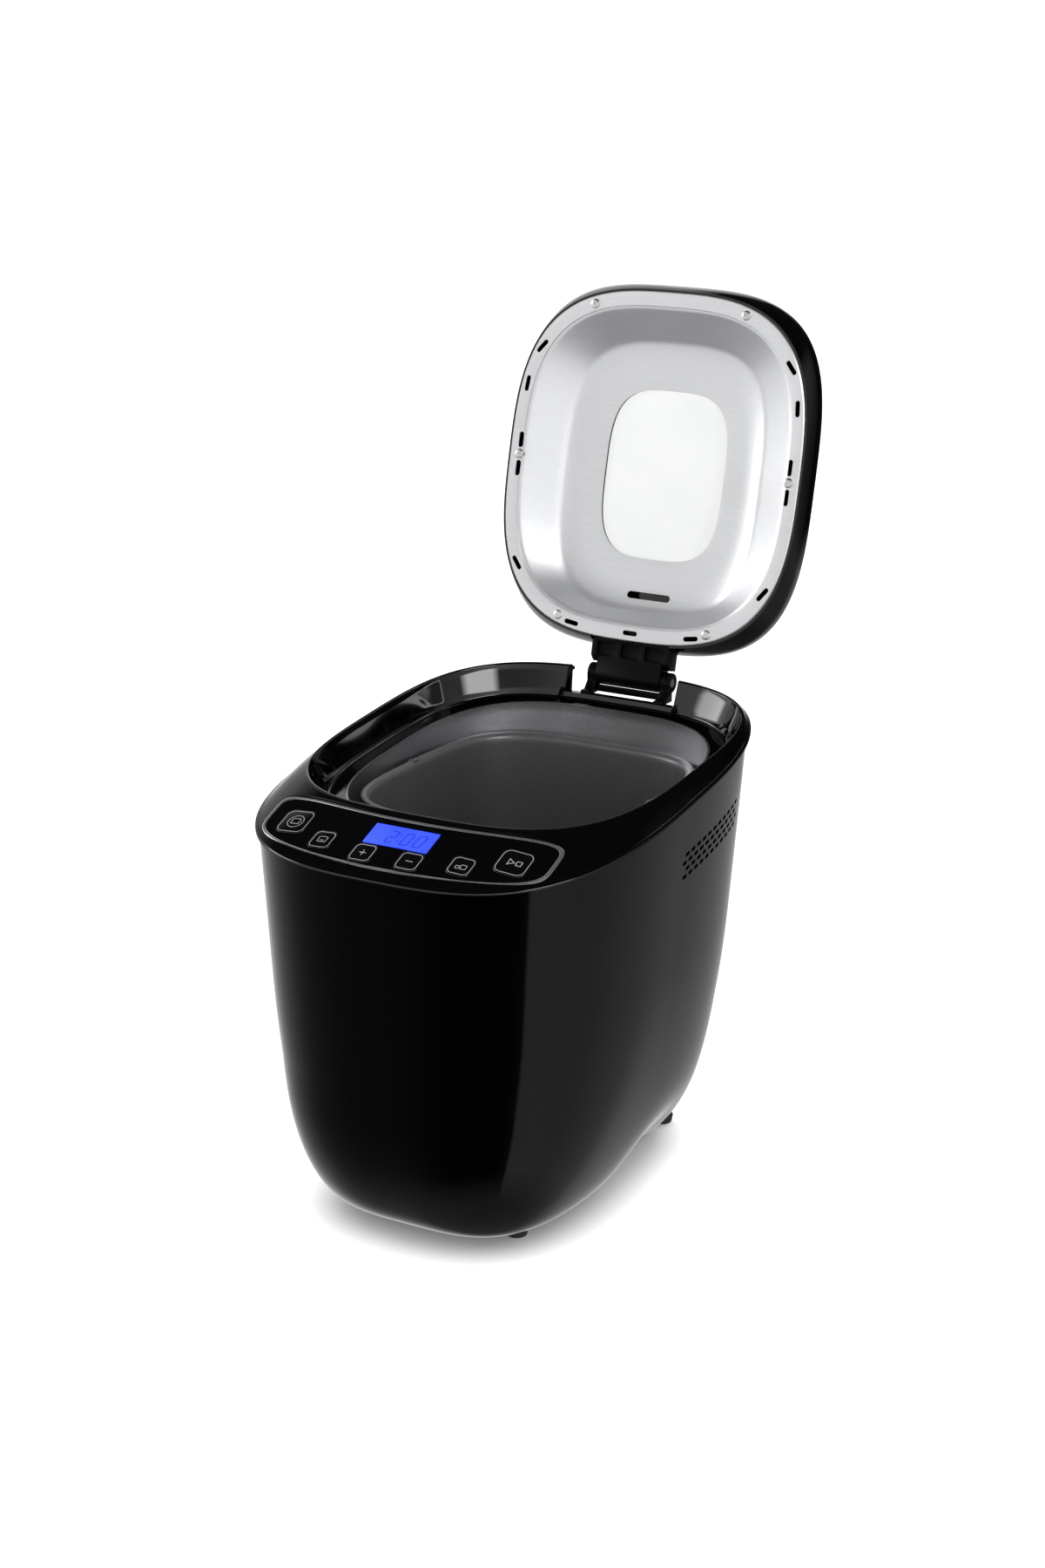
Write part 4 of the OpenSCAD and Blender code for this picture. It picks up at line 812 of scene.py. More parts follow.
# %% Rear cover
GLAND_X, GLAND_H, PAD_R = 34.0, 52.0, 14.0
pad_h = GLAND_H + PAD_R
gland_y = SHELL_D / 2 - TAPER["rear"] * (SEAM_H - pad_h) - curve_in(pad_h, "rear", 0)
at_gland = placed(Matrix.Translation((GLAND_X, gland_y, GLAND_H))
                  @ Matrix.Rotation(-math.pi / 2, 4, "X"))
on_back = placed(Matrix.Translation((0, SHELL_D, BACK_VENT_H))
                 @ Matrix.Rotation(math.pi / 2, 4, "X"))
rear = housing_skin("rear_panel", "black_satin")
cut(rear, [brick((-REAR_HALF, 60, REAR_LOW), (REAR_HALF, SHELL_D, REAR_HIGH))], "INTERSECT")
cut(rear, [prism(circle(PAD_R, 64), -7.5, 0, at_gland)], "UNION")
cut(rear, [prism(circle(9, 64), -40, 20, at_gland),
           slot_cutter(vent_places(13), VENT_L, VENT_W, SHELL_D, on_back)])
wear(rear, "housing", "black_satin", "rear_cover")

# %% [markdown]
# ## Top frame
# The top frame is a ring with a rounded outer lip, a sloping roof, a crest at the opening and a
# funnel down to the seat of the lid. Its section is drawn once, from the lip round to the hidden
# underside, and each point of that section is an outline of its own.

# %% Section of the top frame
RIM_CORNER = 3.26
SEAT_HX, SEAT_HY = 102.0, 109.6
LIP_RISE, LIP_ROUND, RIM_ROUND, CROWN = 2.4, 1.6, 1.2, 0.8
RIM_HX, RIM_HY, HOLE_HX, HOLE_HY = 110.3, 119.7, 95, 104
LEDGE_T, SEAM_SEAT = 2.6, 5.6


def seam_ring(inset, rise):
    """An outline at the seam, where the frame sits on the housing."""
    return hoop(SHELL_W / 2 + LIP - inset, SHELL_D / 2 + LIP - inset, 3.0, 0, SEAM_H + rise,
                SEAM_TILT)


def rim_ring(grow_by, drop):
    """An outline at the rim of the opening."""
    return hoop(RIM_HX + grow_by, RIM_HY * math.cos(RIM_TILT) + grow_by, RIM_CORNER, RIM_Y,
                RIM_H - drop, RIM_TILT)


def level(a, b, n, depth):
    """An outline at a depth square to the sloping rim."""
    return hoop(a, b * math.cos(RIM_TILT), n, RIM_Y + depth * math.sin(RIM_TILT),
                RIM_H - depth * math.cos(RIM_TILT), RIM_TILT)


def roof_ring(q, drop=0.0):
    """An outline on the roof, a share q of the way from the lip to the rim."""
    low, high = seam_ring(LIP_ROUND, LIP_RISE), rim_ring(RIM_ROUND, 0)
    ring = low + q * (high - low)
    ring[:, 2] += CROWN * math.sin(math.pi * q) - drop
    return ring


def quarter(count):
    """Angles of a quarter turn, without its start."""
    return [math.pi / 2 * i / count for i in range(1, count + 1)]


# %% Outlines of the top frame, from the lip round to the underside
frame_rings = [seam_ring(0, 0), seam_ring(0, 0.6), seam_ring(0, 1.2)]
frame_rings += [seam_ring(LIP_ROUND * (1 - math.cos(a)), 1.2 + (LIP_RISE - 1.2) * math.sin(a))
                for a in quarter(6)]
frame_rings += [roof_ring(q) for q in np.linspace(0, 1, 19)[1:]]
frame_rings += [rim_ring(RIM_ROUND * (1 - math.sin(a)), RIM_ROUND * (1 - math.cos(a)))
                for a in quarter(6)]
wall_top = level(SEAT_HX + 1.6, SEAT_HY + 1.8, RIM_CORNER, SEAT_DEPTH - 2)
foot = [level(SEAT_HX + 1.6 - 2.2 * (1 - math.cos(a)), SEAT_HY + 1.8 - 2.4 * (1 - math.cos(a)),
              RIM_CORNER, SEAT_DEPTH - 2 + 2 * math.sin(a)) for a in quarter(5)]
mouth_edge = level(HOLE_HX, HOLE_HY, 3.0, SEAT_DEPTH)
frame_rings += between([frame_rings[-1], wall_top], 5)[1:] + foot
frame_rings += between([foot[-1], mouth_edge], 3)[1:]
frame_rings += [level(HOLE_HX, HOLE_HY, 3.0, SEAT_DEPTH + LEDGE_T)]
outside = list(frame_rings)
frame_rings += [level(SEAT_HX + 2.2, SEAT_HY + 2.2, RIM_CORNER, SEAT_DEPTH + LEDGE_T),
                rim_ring(-0.6, 6.5), roof_ring(0.72, 3.5), roof_ring(0.4, 3.5),
                seam_ring(SEAM_SEAT, 0)]
print("rings of the top frame:", len(frame_rings))

# %% [markdown]
# The roof carries a recess for the key panel, holes for the keys and the display behind it, and a
# notch at the back in which the hinge turns. A shelf and two cheeks close the frame's hollow
# section round that notch.

# %% Panel frame of reference
PANEL_Y, PANEL_H, PANEL_TILT, PANEL_R = -95.95, 251.4, math.radians(22.2), 760.0
panel_matrix = Matrix.Translation((0, PANEL_Y, PANEL_H)) @ Matrix.Rotation(PANEL_TILT, 4, "X")
on_panel = placed(panel_matrix)
BORDER_HALF, BORDER_MID, BORDER_TALL, BORDER_BEND = 93.0, -28.75, 21.75, 14.0
BORDER_W, SHEET, GAP = 2.2, 1.0, 0.6
DISPLAY_W, DISPLAY_H, DISPLAY_Y = 41.0, 16.5, -22.2
# Each key: its middle on the panel and its size
KEYS = {"menu": (-71, -22, 20), "crust": (-45, -34.2, 15), "time_up": (-15, -39.4, 15),
        "time_down": (15, -39.4, 15), "loaf_size": (45, -34.2, 15), "start_stop": (71, -22, 20)}
print("keys:", ", ".join(KEYS))


# %% Shapes on the crowned panel
def key_matrix(x, y):
    """A place on the crowned panel, square to its surface."""
    return (panel_matrix @ Matrix.Translation((0, y, -PANEL_R))
            @ Matrix.Rotation(math.asin(x / PANEL_R), 4, "Y") @ Matrix.Translation((0, 0, PANEL_R)))


def key_hole(size, x=0.0, y=0.0):
    """Outline of the hole that a key moves in."""
    return round_rect(size + GAP, size + GAP, size / 4, x=x, y=y)


def border(inset):
    """Outline of the panel's border, bent along the front of the frame."""
    p = oval(BORDER_HALF - inset, BORDER_TALL - inset, 4.6)
    return np.stack([p[:, 0], BORDER_MID + BORDER_BEND * (p[:, 0] / BORDER_HALF) ** 2 + p[:, 1]], 1)


def crowned(outline, z):
    """An outline lifted to a height and laid on the crown of the panel."""
    return at_height(outline, z + np.sqrt(PANEL_R ** 2 - outline[:, 0] ** 2) - PANEL_R)


def sunk(outline, low, high):
    """A cutter whose floor follows the crown."""
    spread = between([outline * s + (1 - s) * np.array([[0, BORDER_MID + 8]])
                      for s in (0.001, 1.0)], 10)
    rows = [crowned(outline, low) for outline in spread] + [at_height(outline, high)]
    return loft("cutter", rows, joined=False, turned=on_panel)


# %% Top frame with its openings
top = loft("top_frame_moulding", frame_rings, "black_gloss")
solid = loft("solid", outside + [seam_ring(SEAM_SEAT, 0)])
CHEEK, SHELF_T = 2.2, 4.5
cheeks = [brick((x, BRACKET_Y - 20, SHELF_H - SHELF_T), (x + CHEEK, SHELL_D, 2 * NOTCH_H))
          for x in (NOTCH_HALF, -NOTCH_HALF - CHEEK)]
cut(cheeks[0], [cheeks[1]], "UNION")
cut(solid, [cheeks[0]], "INTERSECT")
shelf = brick((-NOTCH_HALF - CHEEK, BRACKET_Y - 5, SHELF_H - SHELF_T),
              (NOTCH_HALF + CHEEK, BRACKET_Y + BRACKET_D - 0.7, SHELF_H))
cut(top, [solid, shelf], "UNION")
cutters = [brick((-NOTCH_HALF, BRACKET_Y - 12, NOTCH_H), (NOTCH_HALF, SHELL_D, 2 * NOTCH_H)),
           brick((-NOTCH_HALF, BRACKET_Y, SHELF_H), (NOTCH_HALF, SHELL_D, NOTCH_H + 1)),
           sunk(border(-0.3), -SHEET, 40),
           brick((-DISPLAY_W / 2 - 3.2, DISPLAY_Y - 8.85, -17),
                 (DISPLAY_W / 2 + 3.2, DISPLAY_Y + 8.85, 17), on_panel)]
for x, y, size in KEYS.values():
    cutters.append(prism(key_hole(size), -12, 12, placed(key_matrix(x, y))))
cut(top, cutters)
wear(top, "housing", "black_gloss", "top_frame")

# %% [markdown]
# ## Key panel
# The panel is a thin bent sheet in the recess, crowned from left to right. A bright trim runs
# round it. Both follow the same crown: the sheet is cut out flat and then bent, while each row of
# the trim is laid on the crown from the start.

# %% Bent panel
def in_metres(points):
    """Millimetres to metres, for a shape that is made before it has its place."""
    return points * MM


holes = [key_hole(size, x, y) for x, y, size in KEYS.values()]
holes.append(round_rect(DISPLAY_W + GAP, DISPLAY_H + GAP, 0.8, 4, 0, DISPLAY_Y))
panel = cut(prism(border(BORDER_W + 0.1), -SHEET, 0, in_metres),
            [prism(hole, -SHEET - 5, 5, in_metres) for hole in holes])
work = bmesh.new()
work.from_mesh(panel.data)
for x in np.linspace(-90, 90, 61):
    bmesh.ops.bisect_plane(work, geom=work.verts[:] + work.edges[:] + work.faces[:],
                           plane_co=(x * MM, 0, 0), plane_no=(1, 0, 0))
work.to_mesh(panel.data)
work.free()
reshape(panel, lambda p: on_panel(crowned(p[:, :2], p[:, 2])))
panel.name = "key_panel"
paint(panel, "panel_gloss")
wear(finish_mesh(panel), "housing", "panel_gloss", "control_panel")

# %% Bright trim, with a half-round section
trim_rings = []
for angle in np.linspace(0, 2 * math.pi, 16, endpoint=False):
    across = (1 - math.cos(angle)) / 2 * BORDER_W
    bulge = math.copysign(abs(math.sin(angle)) ** 0.6, math.sin(angle))
    up = max(-SHEET / 2 + (SHEET / 2 + 0.25) * bulge, -SHEET)
    trim_rings.append(crowned(border(across), up))
trim = loft("silver_trim", trim_rings, "trim_silver", turned=on_panel)
wear(trim, "housing", "trim_silver", "panel_trim")

# %% [markdown]
# ## Lid
# The lid is a bowed cover with a steel tray let into its underside. Cover and tray are lofts in
# the lid's own frame, which the open hinge then turns up. The rows of the cover pass through the
# same measured widths as the CAD's, joined by a smooth curve instead of straight facets.

# %% Frame of the lid
LID_SWING, TRAY_HX, TRAY_HY, TRAY_N = 109.8, 100.2, 107.8, 3.0
LID_T, LID_WALL, WIN_X, WIN_Y, WIN_N, WIN_MID = 28.6, 2.6, 41.5, 52.5, 3.5, 3.7
TRAY_D, SHEET_T, DISH = 16.0, 0.8, 3.2
on_lid = placed(Matrix.Translation((0, HINGE_Y, HINGE_H))
                @ Matrix.Rotation(RIM_TILT - math.radians(LID_SWING), 4, "X")
                @ Matrix.Translation((0, -HINGE_REACH, -HINGE_RISE)))
# Depth in the lid, and how far the cover stands out past the tray there, at its sides and ends
SIDE = np.array([[1, 1.7], [6, 2.6], [12, 3.2], [19, 2.6], [23, 0.8], [26, -3.2], [27.6, -9.5]])
END = np.array([[1, 1.7], [6, 4], [12, 5.5], [19, 5.8], [23, 4.6], [26, 1], [27.6, -6]])


def flat(a, b, n, y, w):
    """An outline at a depth w of the lid, with its middle at y."""
    return at_height(oval(a, b, n) + [0, y], w)


# %% Rows of the cover
def smooth_rows(table, steps):
    """Catmull-Rom curve through the rows of a table."""
    rows = np.vstack([2 * table[0] - table[1], table, 2 * table[-1] - table[-2]])
    out = []
    for i in range(1, len(rows) - 2):
        p0, p1, p2, p3 = rows[i - 1:i + 3]
        for t in np.linspace(0, 1, steps, endpoint=False):
            out.append(0.5 * (2 * p1 + (p2 - p0) * t + (2 * p0 - 5 * p1 + 4 * p2 - p3) * t ** 2
                              + (3 * p1 - p0 - 3 * p2 + p3) * t ** 3))
    return np.array(out + [rows[-2]])


def cover_row(w, side, end):
    """One row of the cover, so much wider and deeper than the tray, with a corner for its depth."""
    return flat(TRAY_HX + side, TRAY_HY + end, np.interp(w, [1, 12], [3, 3.35]), 0, w)


def inner_row(w, t):
    """A row of the cover's inner face, t inside the outer one."""
    return cover_row(w, *(np.interp(w, table[:, 0], table[:, 1]) - t for table in (SIDE, END)))


# The facets of the CAD lie inside the curve, so the curve is drawn in by this much
DRAWN_IN = 0.15
profile = smooth_rows(np.column_stack([SIDE, END[:, 1]]), 5) - [0, DRAWN_IN, DRAWN_IN]
cover_rows = [cover_row(*row) for row in profile]
print("rows of the cover:", len(cover_rows))

# %% Cover with its bosses and bores
crown_rows = [cover_rows[-1], flat(TRAY_HX - 12.4, TRAY_HY - 9.4, 3.15, 0, 28.05),
              flat(TRAY_HX - 20, TRAY_HY - 20, 3, 0, 28.4)]
crown_rows += between([crown_rows[-1], flat(WIN_X + 3.4, WIN_Y + 3.4, WIN_N, WIN_MID, 28.6)], 6)[1:]
crown_rows += [flat(WIN_X + g, WIN_Y + g, WIN_N, WIN_MID, w)
               for g, w in ((2.5, 28.5), (2.1, 28.2), (2, 27.7))]
under = [flat(WIN_X + 2, WIN_Y + 2, WIN_N, WIN_MID, LID_T - LID_WALL),
         flat(TRAY_HX - 20, TRAY_HY - 20, 3, 0, LID_T - LID_WALL - 0.1)]
under += [inner_row(w, t) for w, t in ((24.8, 5), (22, 3), (18, 2.6), (12, 2.6), (6, 2.6),
                                       (3.6, 2.2), (1, 1.4))]
cover = loft("lid_shell", cover_rows + crown_rows[1:] + under, "black_gloss", turned=on_lid)
LID_SCREWS = [(s * x, y) for x, y in ((52, 97.4), (93.5, 0), (52, -97.4)) for s in (1, -1)]
ARM_SCREWS = [(18, 103.2), (-18, 103.2)]


def posts(places, radius, low, high):
    """Round posts of the lid between two depths."""
    return [prism(circle(radius, 24, x, y), low, high, on_lid) for x, y in places]


cut(cover, posts(LID_SCREWS, 3.2, 1.2, LID_T - 2.8) + posts(ARM_SCREWS, 4, 15, LID_T - 2), "UNION")
cut(cover, [brick((-27.5, TRAY_HY - 9, -1), (27.5, HINGE_REACH, 15), on_lid)]
    + posts(LID_SCREWS, 1.52, 0, 12.5) + posts(ARM_SCREWS, 1.52, 14, 21.5))
wear(cover, "lid", "black_gloss", "lid_cover")

# %% [markdown]
# ## Steel tray of the lid
# The tray is one pressing: a flange with short slots, a small step and a soft bend into sloping
# walls, a rounded floor corner and a floor that rises towards the window. Each bend is a small arc
# of rows, since a real press tool has no sharp edge.

# %% Tray rows
FLOOR_X, FLOOR_Y, FLOOR_N, FLOOR_MID = 65.0, 81.0, 3.3, 4.3


def tray_side(lift):
    """Rows of the tray's face from the outer edge to the window, at a height above it."""
    key = [(TRAY_HX - g, TRAY_HY - h, n, y, w) for g, h, n, y, w in (
        (0, 0, TRAY_N, 0, 3.2), (0, 0, TRAY_N, 0, 0.6), (0.6, 0.6, TRAY_N, 0, 0.0),
        (7.4, 8.4, TRAY_N, 0, 0.0), (7.9, 8.9, 3.02, 0, 0.12), (8.3, 9.3, 3.03, 0, 0.95),
        (9.5, 10.5, 3.05, 0, 1.2), (10.6, 11.6, 3.08, 0.1, 1.8))]
    key += [(FLOOR_X + g, FLOOR_Y + h, FLOOR_N, FLOOR_MID, TRAY_D + w) for g, h, w in (
        (4.4, 4.4, -2.3), (3.0, 3.0, -1.25), (1.4, 1.4, -0.45), (-0.6, -0.6, 0.15),
        (-3, -4, 0.9), (-8, -10, 0.65 * DISH))]
    key += [(WIN_X + g, WIN_Y + g, n, WIN_MID + y, TRAY_D + DISH + w) for g, n, y, w in (
        (5, 3.45, 0.1, -0.1 * DISH), (1.2, WIN_N, 0, -0.05), (0, WIN_N, 0, 0.1))]
    rings = []
    for a, b, n, y, w in key:
        inward = lift if w > 0.5 and a > TRAY_HX - 1 else 0
        upward = lift if a < TRAY_HX - 0.1 or w < 3 else 0
        rings.append(flat(a - inward, b - inward, n, y, w + upward))
    return rings


# %% Tray with its slots
face_rows = tray_side(0.0)
face_rows = face_rows[:7] + between(face_rows[7:9], 8) + face_rows[9:13] \
    + between(face_rows[13:15], 3) + face_rows[15:]
back_rows = tray_side(SHEET_T)
back_rows[0] = flat(TRAY_HX - SHEET_T, TRAY_HY - SHEET_T, TRAY_N, 0, 3.2)
tray = loft("steel_tray", face_rows + back_rows[::-1], "tray_steel", turned=on_lid)
FLANGE_SLOTS = [(86, -68.5, 50), (93.5, -44.5, 84), (93.5, -9, 90), (93.5, 9, 90), (86, 68.5, -52),
                (41.9, 101.2, -8)]
slots = FLANGE_SLOTS + [(-x, y, -a) for x, y, a in FLANGE_SLOTS] + [(0, 102.9, 0)]
STEAM_SLOT = (1, 79.4, 0)
cut(tray, [slot_cutter(slots, 10, 3, 4, lambda p: on_lid(p - [0, 0, 2])),
           slot_cutter([STEAM_SLOT], 30, 4.4, 12, lambda p: on_lid(p + [0, 0, 12]))]
    + [prism(circle(1.8, 32, x, y), -1, 2.5, on_lid) for x, y in LID_SCREWS])
wear(tray, "lid", "tray_steel", "lid_liner")

# %% [markdown]
# ## Window
# A flat toughened pane lies between the cover and a black frame. Its edge is ground round.

# %% Pane and frame
pane_rows = [flat(WIN_X + 5.5 - r, WIN_Y + 5.5 - r, WIN_N, WIN_MID, w) for r, w in (
    (0.5, 22.8), (0.15, 22.95), (0, 23.3), (0, 25.3), (0.15, 25.65), (0.5, 25.8))]
pane = loft("window_pane", pane_rows, "window_glass", joined=False, turned=on_lid)
wear(pane, "lid", "window_glass", "lid_window")
low, high = TRAY_D + DISH + SHEET_T, LID_T - LID_WALL - 3.2
duct_rows = [flat(WIN_X + g, WIN_Y + g, WIN_N, WIN_MID, w) for g, w in (
    (0.4, low + 0.3), (0.7, low), (2.7, low), (3, low + 0.3), (3, high - 0.3), (2.7, high),
    (0.7, high), (0.4, high - 0.3))]
duct = loft("window_duct", duct_rows, "black_satin", turned=on_lid)
wear(duct, "lid", "black_satin", "window_frame")

# %% [markdown]
# ## Baking chamber
# The chamber is a deep drawn box of plated steel with a round floor edge and a curled lip under
# the top frame. Its mouth leans with the rim.

# %% Sections of the chamber
BAY_Y = RIM_Y + SEAT_DEPTH * math.sin(RIM_TILT)
BAY_N, CHAMBER_N, CHASSIS_H = 3.0, 3.4, 69.0
MOUTH_X, MOUTH_Y, MOUTH_DROP = 94.5, 103.5, SEAT_DEPTH + LEDGE_T


def bay(a, b, n, z):
    """A level outline round the middle of the bay."""
    return hoop(a, b, n, BAY_Y, z)


def mouth(grow_by, depth):
    """An outline of the chamber's mouth, square to the sloping rim."""
    return level(MOUTH_X + grow_by, MOUTH_Y + grow_by, BAY_N, depth)


def chamber_wall(t):
    """Rows of one face of the chamber, t outside its inner face."""
    z, r = (CHASSIS_H, 5.0) if t else (CHASSIS_H + 1, 4.0)
    corner = [bay(86 - (5 - 5 * math.sin(a)) - (1 - t), 90 - (5 - 5 * math.sin(a)) - (1 - t),
                  CHAMBER_N, z + r * (1 - math.cos(a))) for a in quarter(6)]
    start = bay(81 - (1 - t), 85 - (1 - t), CHAMBER_N, z)
    waist = bay(MOUTH_X - 6 + t, MOUTH_Y - 8 + t, BAY_N, CHAMBER_WAIST)
    return [start] + corner + between([corner[-1], waist], 10)[1:]


CHAMBER_WAIST = CHASSIS_H + 142
outer = chamber_wall(1) + [mouth(0, MOUTH_DROP + 4), mouth(0, MOUTH_DROP + 1),
                           mouth(4, MOUTH_DROP + 1), mouth(4, MOUTH_DROP), mouth(0, MOUTH_DROP),
                           mouth(0, SEAT_DEPTH + 0.2)]
inner = chamber_wall(0) + [mouth(-1, MOUTH_DROP + 4), mouth(-1, SEAT_DEPTH + 0.2)]
print("rows of the chamber:", len(outer) + len(inner))

# %% Chamber with its openings
chamber = loft("oven_chamber", outer + inner[::-1], "chamber_metal", joined=False)
ELEMENT_H, ELEMENT_R, SENSOR_H = CHASSIS_H + 19, 3.2, CHASSIS_H + 48
LEGS, SENSOR_X = (24.0, 48.0), 36.0
cut(chamber, [prism(circle(12, 48, 0, BAY_Y), CHASSIS_H - 2, CHASSIS_H + 4, to_frame)]
    + [rod((x, BAY_Y, ELEMENT_H), "X", 95, ELEMENT_R + 0.4, 40) for x in LEGS]
    + [rod((SENSOR_X, BAY_Y, SENSOR_H), "X", MOUTH_Y, 3.3, 40)])
wear(chamber, "housing", "chamber_metal", "baking_chamber")

# %% [markdown]
# ## Bread pan by rule
# The pan follows one rule from foot to rim: a superellipse whose half widths grow with height.
# Geometry Nodes computes it. A mesh gives one row of points for each height of the section, and
# the tree moves every point onto its outline. The half widths and the corner are inputs.

# %% Pan section
PAN_A, PAN_B, PAN_N = 82.3, 91.8, 3.8
PAN_FLOOR, PAN_RIM, PAN_T = CHASSIS_H + 34, CHASSIS_H + 169, 1.6
# Each row is how far it lies inside the rim, and its height: f is the floor, r the rim, w the wall
f, r, w = PAN_FLOOR, PAN_RIM, PAN_T
outside_rows = [(16, f - w), (14.2, f - w + 0.25), (12.6, f - w + 0.9), (11.4, f + 0.1),
                (10.5, f + 1.6), (10.0, f + 3.4), (9.8, f + 5)]
outside_rows += [(9.8 - 6.5 * t, f + 5 + (r - 11 - f) * t) for t in np.linspace(0.1, 1, 10)]
rim_rows = [(3.15, r - 4), (2.6, r - 2.9), (1.4, r - 2.3), (0.5, r - 1.8), (0.1, r - 1.3),
            (0.0, r - 0.9), (0.15, r - 0.45), (0.6, r - 0.1), (1.2, r), (2.0, r - 0.1),
            (3.2, r - 0.6), (4.2, r - 1.7), (3.1 + w, r - 3.2)]
inside_rows = [(9.8 + w - 6.5 * t, f + 5 + (r - 11 - f) * t) for t in np.linspace(1, 0, 11)]
inside_rows += [(10.1 + w, f + 3.9), (10.7 + w, f + 2.7), (11.8 + w, f + 1.4), (13.4 + w, f + 0.5),
                (16 + w, f)]
section = outside_rows + rim_rows + inside_rows

# %% Tree that lofts a section
rule, given, out = node_tree("loft by rule", [
    ("Half width", FLOAT, 0.08), ("Half depth", FLOAT, 0.09), ("Corner", FLOAT, 3.8),
    ("Finish", FINISH, None)])


def signed_power(tree, value, exponent):
    """Keeps the sign of a value and raises its size to a power."""
    size = maths(tree, "POWER", maths(tree, "ABSOLUTE", value), exponent)
    return maths(tree, "MULTIPLY", maths(tree, "SIGN", value), size)


exponent = maths(rule, "DIVIDE", 2.0, given["Corner"])
inset, turn = read(rule, "inset"), read(rule, "turn")
half_x = maths(rule, "SUBTRACT", given["Half width"], inset)
half_y = maths(rule, "SUBTRACT", given["Half depth"], inset)
x = maths(rule, "MULTIPLY", half_x, signed_power(rule, maths(rule, "COSINE", turn), exponent))
y = maths(rule, "MULTIPLY", half_y, signed_power(rule, maths(rule, "SINE", turn), exponent))
height = add(rule, "ShaderNodeSeparateXYZ", {
    "Vector": add(rule, "GeometryNodeInputPosition").outputs["Position"]}).outputs["Z"]
centre = maths(rule, "ADD", y, (BAY_Y - MID_Y) * MM)
spot = add(rule, "ShaderNodeCombineXYZ", {"X": x, "Y": centre, "Z": height})
shaped = add(rule, "GeometryNodeSetPosition", {
    "Geometry": given["Geometry"], "Position": spot.outputs["Vector"]})
dress(rule, shaped.outputs["Geometry"], given, out)


# %% Pan from its section
def by_rule(name, rows, a, b, n, finish, count=ROUND):
    """A capped loft whose points carry their inset and their angle round the outline."""
    turns = even_turns(count, a, b, n)
    points = [(0.0, 0.0, z * MM) for inset, z in rows for t in turns]
    faces = [(i * count + j, i * count + (j + 1) % count, (i + 1) * count + (j + 1) % count,
              (i + 1) * count + j) for i in range(len(rows) - 1) for j in range(count)]
    faces.append(tuple(range(count)))
    faces.append(tuple(range((len(rows) - 1) * count, len(rows) * count)))
    source = mesh_piece(name, points, faces)
    note(source, "inset", [inset * MM for inset, z in rows for t in turns])
    note(source, "turn", list(turns) * len(rows))
    return finish_mesh(grow(name, rule, source, {
        "Half width": a * MM, "Half depth": b * MM, "Corner": n}, finish))


pan = by_rule("loaf_pan", section, PAN_A, PAN_B, PAN_N, "pan_coat")
print("pan from", len(section), "rows:", len(pan.data.polygons), "faces")

# %% Foot ring, handle lugs and hub hole of the pan
BAIL_H = PAN_RIM - 4.6


def ring_band(r_out, r_in, low, high):
    """A round band with a softened lower edge."""
    rows = []
    for radius, z in ((r_out, high), (r_out, low + 0.4), (r_out - 0.4, low), (r_in + 0.4, low),
                      (r_in, low + 0.4), (r_in, high)):
        rows.append(at_height(circle(radius, 96, 0, BAY_Y), z))
    return loft("cutter", rows)


LUG_W = 4.4
lugs = []
for low in (PAN_A - 3.6, -PAN_A - 0.8):
    lugs += [rod((low, BAY_Y, BAIL_H), "Y", LUG_W, 5),
             brick((low, BAY_Y - 5, BAIL_H - 9), (low + LUG_W, BAY_Y + 5, BAIL_H))]
cut(pan, [ring_band(52, 50, CHASSIS_H + 1, PAN_FLOOR - PAN_T + 0.5)] + lugs, "UNION")
cut(pan, [prism(circle(11.05, 64, 0, BAY_Y), PAN_FLOOR - PAN_T - 1, PAN_FLOOR + 3, to_frame)]
    + [rod((x, BAY_Y, BAIL_H), "Y", 6, 2.05, 32) for x in (PAN_A - 2.6, -PAN_A - 3.4)])
wear(pan, "pan", "pan_coat", "bread_pan")

# %% [markdown]
# ## Wire and tube along a path
# The handle is a bent wire and the element is a bent tube. Both are a round profile swept along a
# path, so one Geometry Nodes tree makes both. The radius and the profile's points are inputs.

# %% Tree that sweeps a tube
sweep, given, out = node_tree("tube along a path", [
    ("Radius", FLOAT, 0.002), ("Sides", "NodeSocketInt", 16), ("Finish", FINISH, None)])
path = add(sweep, "GeometryNodeMeshToCurve", {"Mesh": given["Geometry"]})
round_profile = add(sweep, "GeometryNodeCurvePrimitiveCircle", {
    "Resolution": given["Sides"], "Radius": given["Radius"]})
tube = add(sweep, "GeometryNodeCurveToMesh", {
    "Curve": path.outputs["Curve"], "Profile Curve": round_profile.outputs["Curve"],
    "Fill Caps": True})
dress(sweep, tube.outputs["Mesh"], given, out)


def tube_along(name, line, radius, finish, sides=18):
    """A tube along a line of points in millimetres."""
    mesh = bpy.data.meshes.new(name)
    mesh.from_pydata([tuple(p) for p in to_frame(line)],
                     [(i, i + 1) for i in range(len(line) - 1)], [])
    return finish_mesh(grow(name, sweep, set_out(name, mesh),
                            {"Radius": radius * MM, "Sides": sides}, finish))


# %% Wire handle
BAIL_X, BAIL_Y = PAN_A + 4.2, PAN_B + 4.7
bail = [(BAIL_X * power(math.cos(t), 2 / 3), BAY_Y + BAIL_Y * power(math.sin(t), 2 / 3), BAIL_H)
        for t in np.linspace(0, math.pi, 121)]
bail = [(PAN_A - 2.4, BAY_Y, BAIL_H), (BAIL_X - 2.2, BAY_Y, BAIL_H),
        (BAIL_X - 0.7, BAY_Y + 0.4, BAIL_H)] + bail[2:-2] + [
            (0.7 - BAIL_X, BAY_Y + 0.4, BAIL_H), (2.2 - BAIL_X, BAY_Y, BAIL_H),
            (2.4 - PAN_A, BAY_Y, BAIL_H)]
handle = tube_along("wire_handle", bail, 2.0, "handle_wire")
wear(handle, "handle", "handle_wire", "pan_handle")

